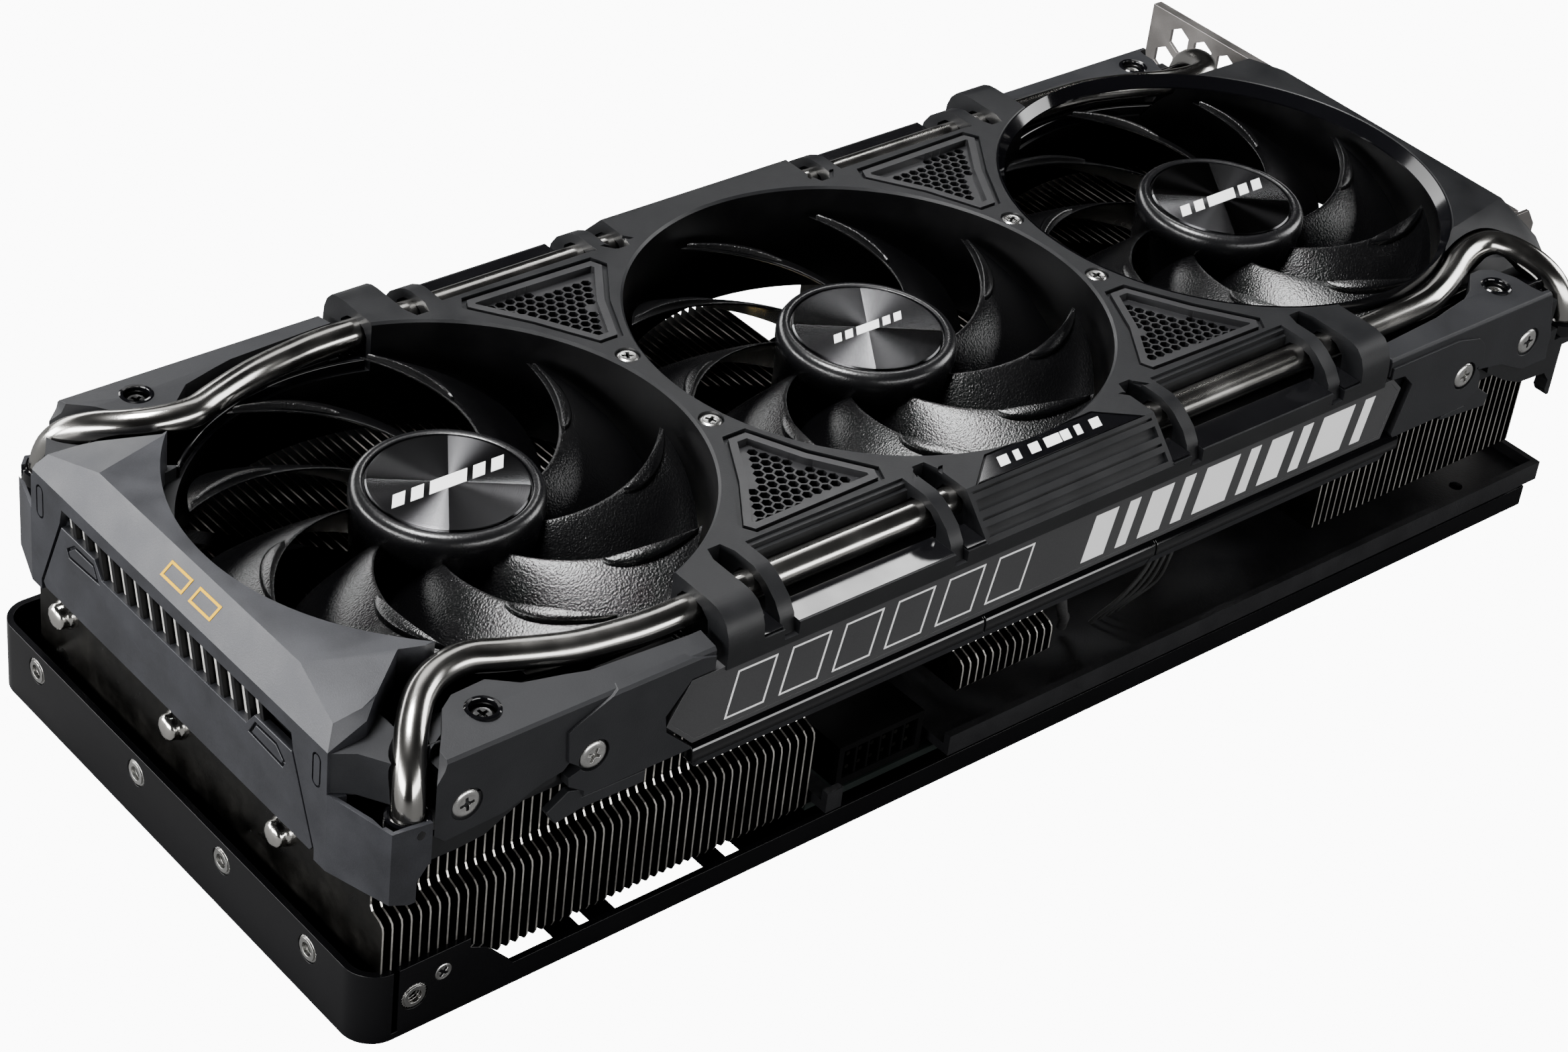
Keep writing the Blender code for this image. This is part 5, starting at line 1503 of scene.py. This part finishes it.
def build_bracket():
    """Slot bracket: pressed plate with hexagonal vents, folded top edge and a bent tab."""
    plate = block(BRACKET_X, BRACKET_Y, BRACKET_Z)
    fold = prism([(165.6, 61.6), (167.2, 61.6), (BRACKET_FLANGE_X, 61.9), (BRACKET_FLANGE_X, BRACKET_Z[1]),
                  (165.6, BRACKET_Z[1])], "y", *BRACKET_Y)
    tab = prism([(165.7, 4.6), (BRACKET_TAB_X, 4.6), (BRACKET_TAB_X, 57.0), (172.4, 61.2), (165.7, 61.2)],
                "y", BRACKET_Y[0], BRACKET_Y[0] + 0.9)
    add(plate, fold, tab)
    cells = []
    for row in range(6):
        for column in range(14):
            shift = BRACKET_HEX_STEP[0] / 2 if row % 2 else 0.0
            y = BRACKET_HEX_FIRST[0] + BRACKET_HEX_STEP[0] * column + shift
            z = BRACKET_HEX_FIRST[1] + BRACKET_HEX_STEP[1] * row
            if BRACKET_HEX_SPAN[0] < y < BRACKET_HEX_SPAN[1]:
                cells.append(prism_data(ring_points(y, z, BRACKET_HEX_R, 6, 30.0), "x", 160.0, 170.0))
    cutters = [plain("work", *merge(cells))]
    for y in PORT_Y:
        cutters.append(block((160.0, 170.0), (y - 8.4, y + 8.4), (PORT_Z[0] - 0.4, PORT_Z[1] + 0.4)))
    cutters.append(prism([(78.4, 2.0), (82.0, 2.0), (82.0, 7.0)], "x", 160.0, 170.0))
    cut(plate, *cutters)
    piece = release(plate, "slot_bracket", bracket_steel(), slot="bracket_steel", bevel=0.14)
    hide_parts("io_bracket")
    for index, y in enumerate(PORT_Y, 1):
        tongue = prism_data(rectangle((y - 5.6, y + 5.6), (12.0, 13.2)), "x", 158.4, 165.6)
        make(f"port_tongue_{index}", *tongue, inner_black(), slot="port_steel", bevel=0.2)
        starts = [y - 5.0 + k * 1.05 for k in range(10)]
        contacts = [prism_data(rectangle((start, start + 0.5), (13.2, 13.28)), "x", 159.0, 165.2)
                    for start in starts]
        make(f"port_contacts_{index}", *merge(contacts), gold_contact(), slot="port_steel")


BOARD_TOP = 8.6


def chip_data(x, y, long, wide, tall):
    return prism_data(rectangle((x, x + long), (y, y + wide)), "z", BOARD_TOP, BOARD_TOP + tall)


def build_board_parts():
    """Components along the board's edges, the gold edge contacts and the supply socket's pins."""
    chips, coils, caps = [], [], []
    for k in range(13):
        x = -50.0 + 15.6 * k + random.uniform(-0.8, 0.8)
        if not -52.0 < x < -22.0:
            coils.append(chip_data(x, -50.0, 6.6, 6.6, 0.55))
        chips.append(chip_data(x + 2.0, 50.0, 5.0, 5.0, 0.5))
    for k in range(60):
        x = random.uniform(-22.0, 150.0)
        y = random.choice((-56.4, -55.2, 61.6, 63.0))
        caps.append(chip_data(x, y, 1.6, 0.8, 0.5))
    make("board_packages", *merge(chips), board_black(), slot="chip_package", bevel=0.1)
    make("board_coils", *merge(coils), casting_black(), slot="chip_package", bevel=0.2)
    make("board_capacitors", *merge(caps), surface("ceramic", (0.16, 0.11, 0.07), 0.0, 0.5, grain=0.4),
         slot="board_laminate")
    fingers = []
    for k in range(86):
        x = 31.0 + 1.0 * k
        if not 103.2 < x < 106.4:
            for low in (6.96, BOARD_TOP):
                fingers.append(prism_data(rectangle((x, x + 0.7), (66.2, 72.8)), "z", low, low + 0.04))
    make("edge_contacts", *merge(fingers), gold_contact(), slot="board_laminate")
    pins = []
    for k in range(6):
        for z in (12.0, 15.2):
            x = -46.6 + 3.1 * k
            pins.append(prism_data(ring_points(x + 1.0, z, 0.5, 12), "y", -56.0, -48.2))
    make("supply_pins", *merge(pins), fin_dark(), slot="connector_plastic")
    walls = []
    for k in range(5):
        x = -44.6 + 3.1 * k
        walls.append(prism_data(rectangle((x + 0.2, x + 0.7), (-56.8, -48.1)), "z", 10.45, 17.15))
    make("supply_walls", *merge(walls), socket_black(), slot="connector_plastic")


def build_leads():
    """The fan lead and four thin captive wires behind it."""
    knots = [(8.4, -55.0, 38.0), (9.2, -56.0, 30.0), (13.0, -54.0, 23.0), (18.0, -50.0, 19.0),
             (20.0, -48.0, 14.4)]
    lead = make("fan_lead_sleeve", *tube_data(smooth_path(knots, 8), 1.1, 20), sleeve_black(),
                slot="lead_sleeve", angle=60.0)
    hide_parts("fan_lead")
    for k in range(4):
        start = 34.0 + 2.2 * k
        knots = [(start, -57.0, 37.0), (start - 1.0, -56.6, 30.0), (start - 3.5 + k, -54.0, 22.0),
                 (start - 5.0 + 0.4 * k, -50.0, 15.0), (start - 5.0 + 0.4 * k, -48.0, 11.6)]
        make(f"sensor_wire_{k + 1}", *tube_data(smooth_path(knots, 8), 0.45, 12), sleeve_black(),
             slot="lead_sleeve", angle=60.0)


def soften_nodes():
    """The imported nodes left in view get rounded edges."""
    for name in ("circuit_board", "mid_frame", "cold_plate", "gpu_package", "power_connector",
                 "display_port_1", "display_port_2", "display_port_3", "display_port_4",
                 "fan_mount_1", "fan_mount_2", "fan_mount_3"):
        node = NODES[name]
        soft = node.modifiers.new("soft_edges", "BEVEL")
        soft.width = 0.0003
        soft.segments = 2
        soft.limit_method = "ANGLE"
        soft.angle_limit = math.radians(40.0)


# ---------------------------------------------------------------- put together

def dress_nodes():
    """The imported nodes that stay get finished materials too."""
    looks = {
        "shroud_plastic": shroud_black, "cap_paint": cap_grey, "panel_plastic": panel_black,
        "plate_metal": plate_grey, "gloss_plastic": gloss_black, "fan_plastic": fan_black,
        "disc_metal": spun_metal, "rail_nickel": rail_nickel, "fin_metal": fin_dark,
        "pipe_nickel": pipe_bright, "tray_paint": tray_black, "frame_casting": casting_black,
        "board_laminate": board_black, "chip_package": board_black, "cold_plate_nickel": pipe_bright,
        "connector_plastic": socket_black, "bracket_steel": bracket_steel, "port_steel": steel,
        "screw_steel": steel, "mesh_plastic": inner_black, "motor_core": casting_black,
        "lead_sleeve": sleeve_black,
    }
    for node in NODES.values():
        for place in node.material_slots:
            place.material = looks[place.material.name.split(".")[0]]()


random.seed(7)
studio()
dress_nodes()
soften_nodes()
build_shroud()
build_mesh_inserts()
build_badge()
build_channels()
build_tail_cap()
build_side_trim()
build_logo_plate()
build_light_bars()
build_rails()
build_ledges()
build_screws()
build_rotors()
build_fins()
build_pipes()
build_tray()
build_inserts()
build_bracket()
build_board_parts()
build_leads()
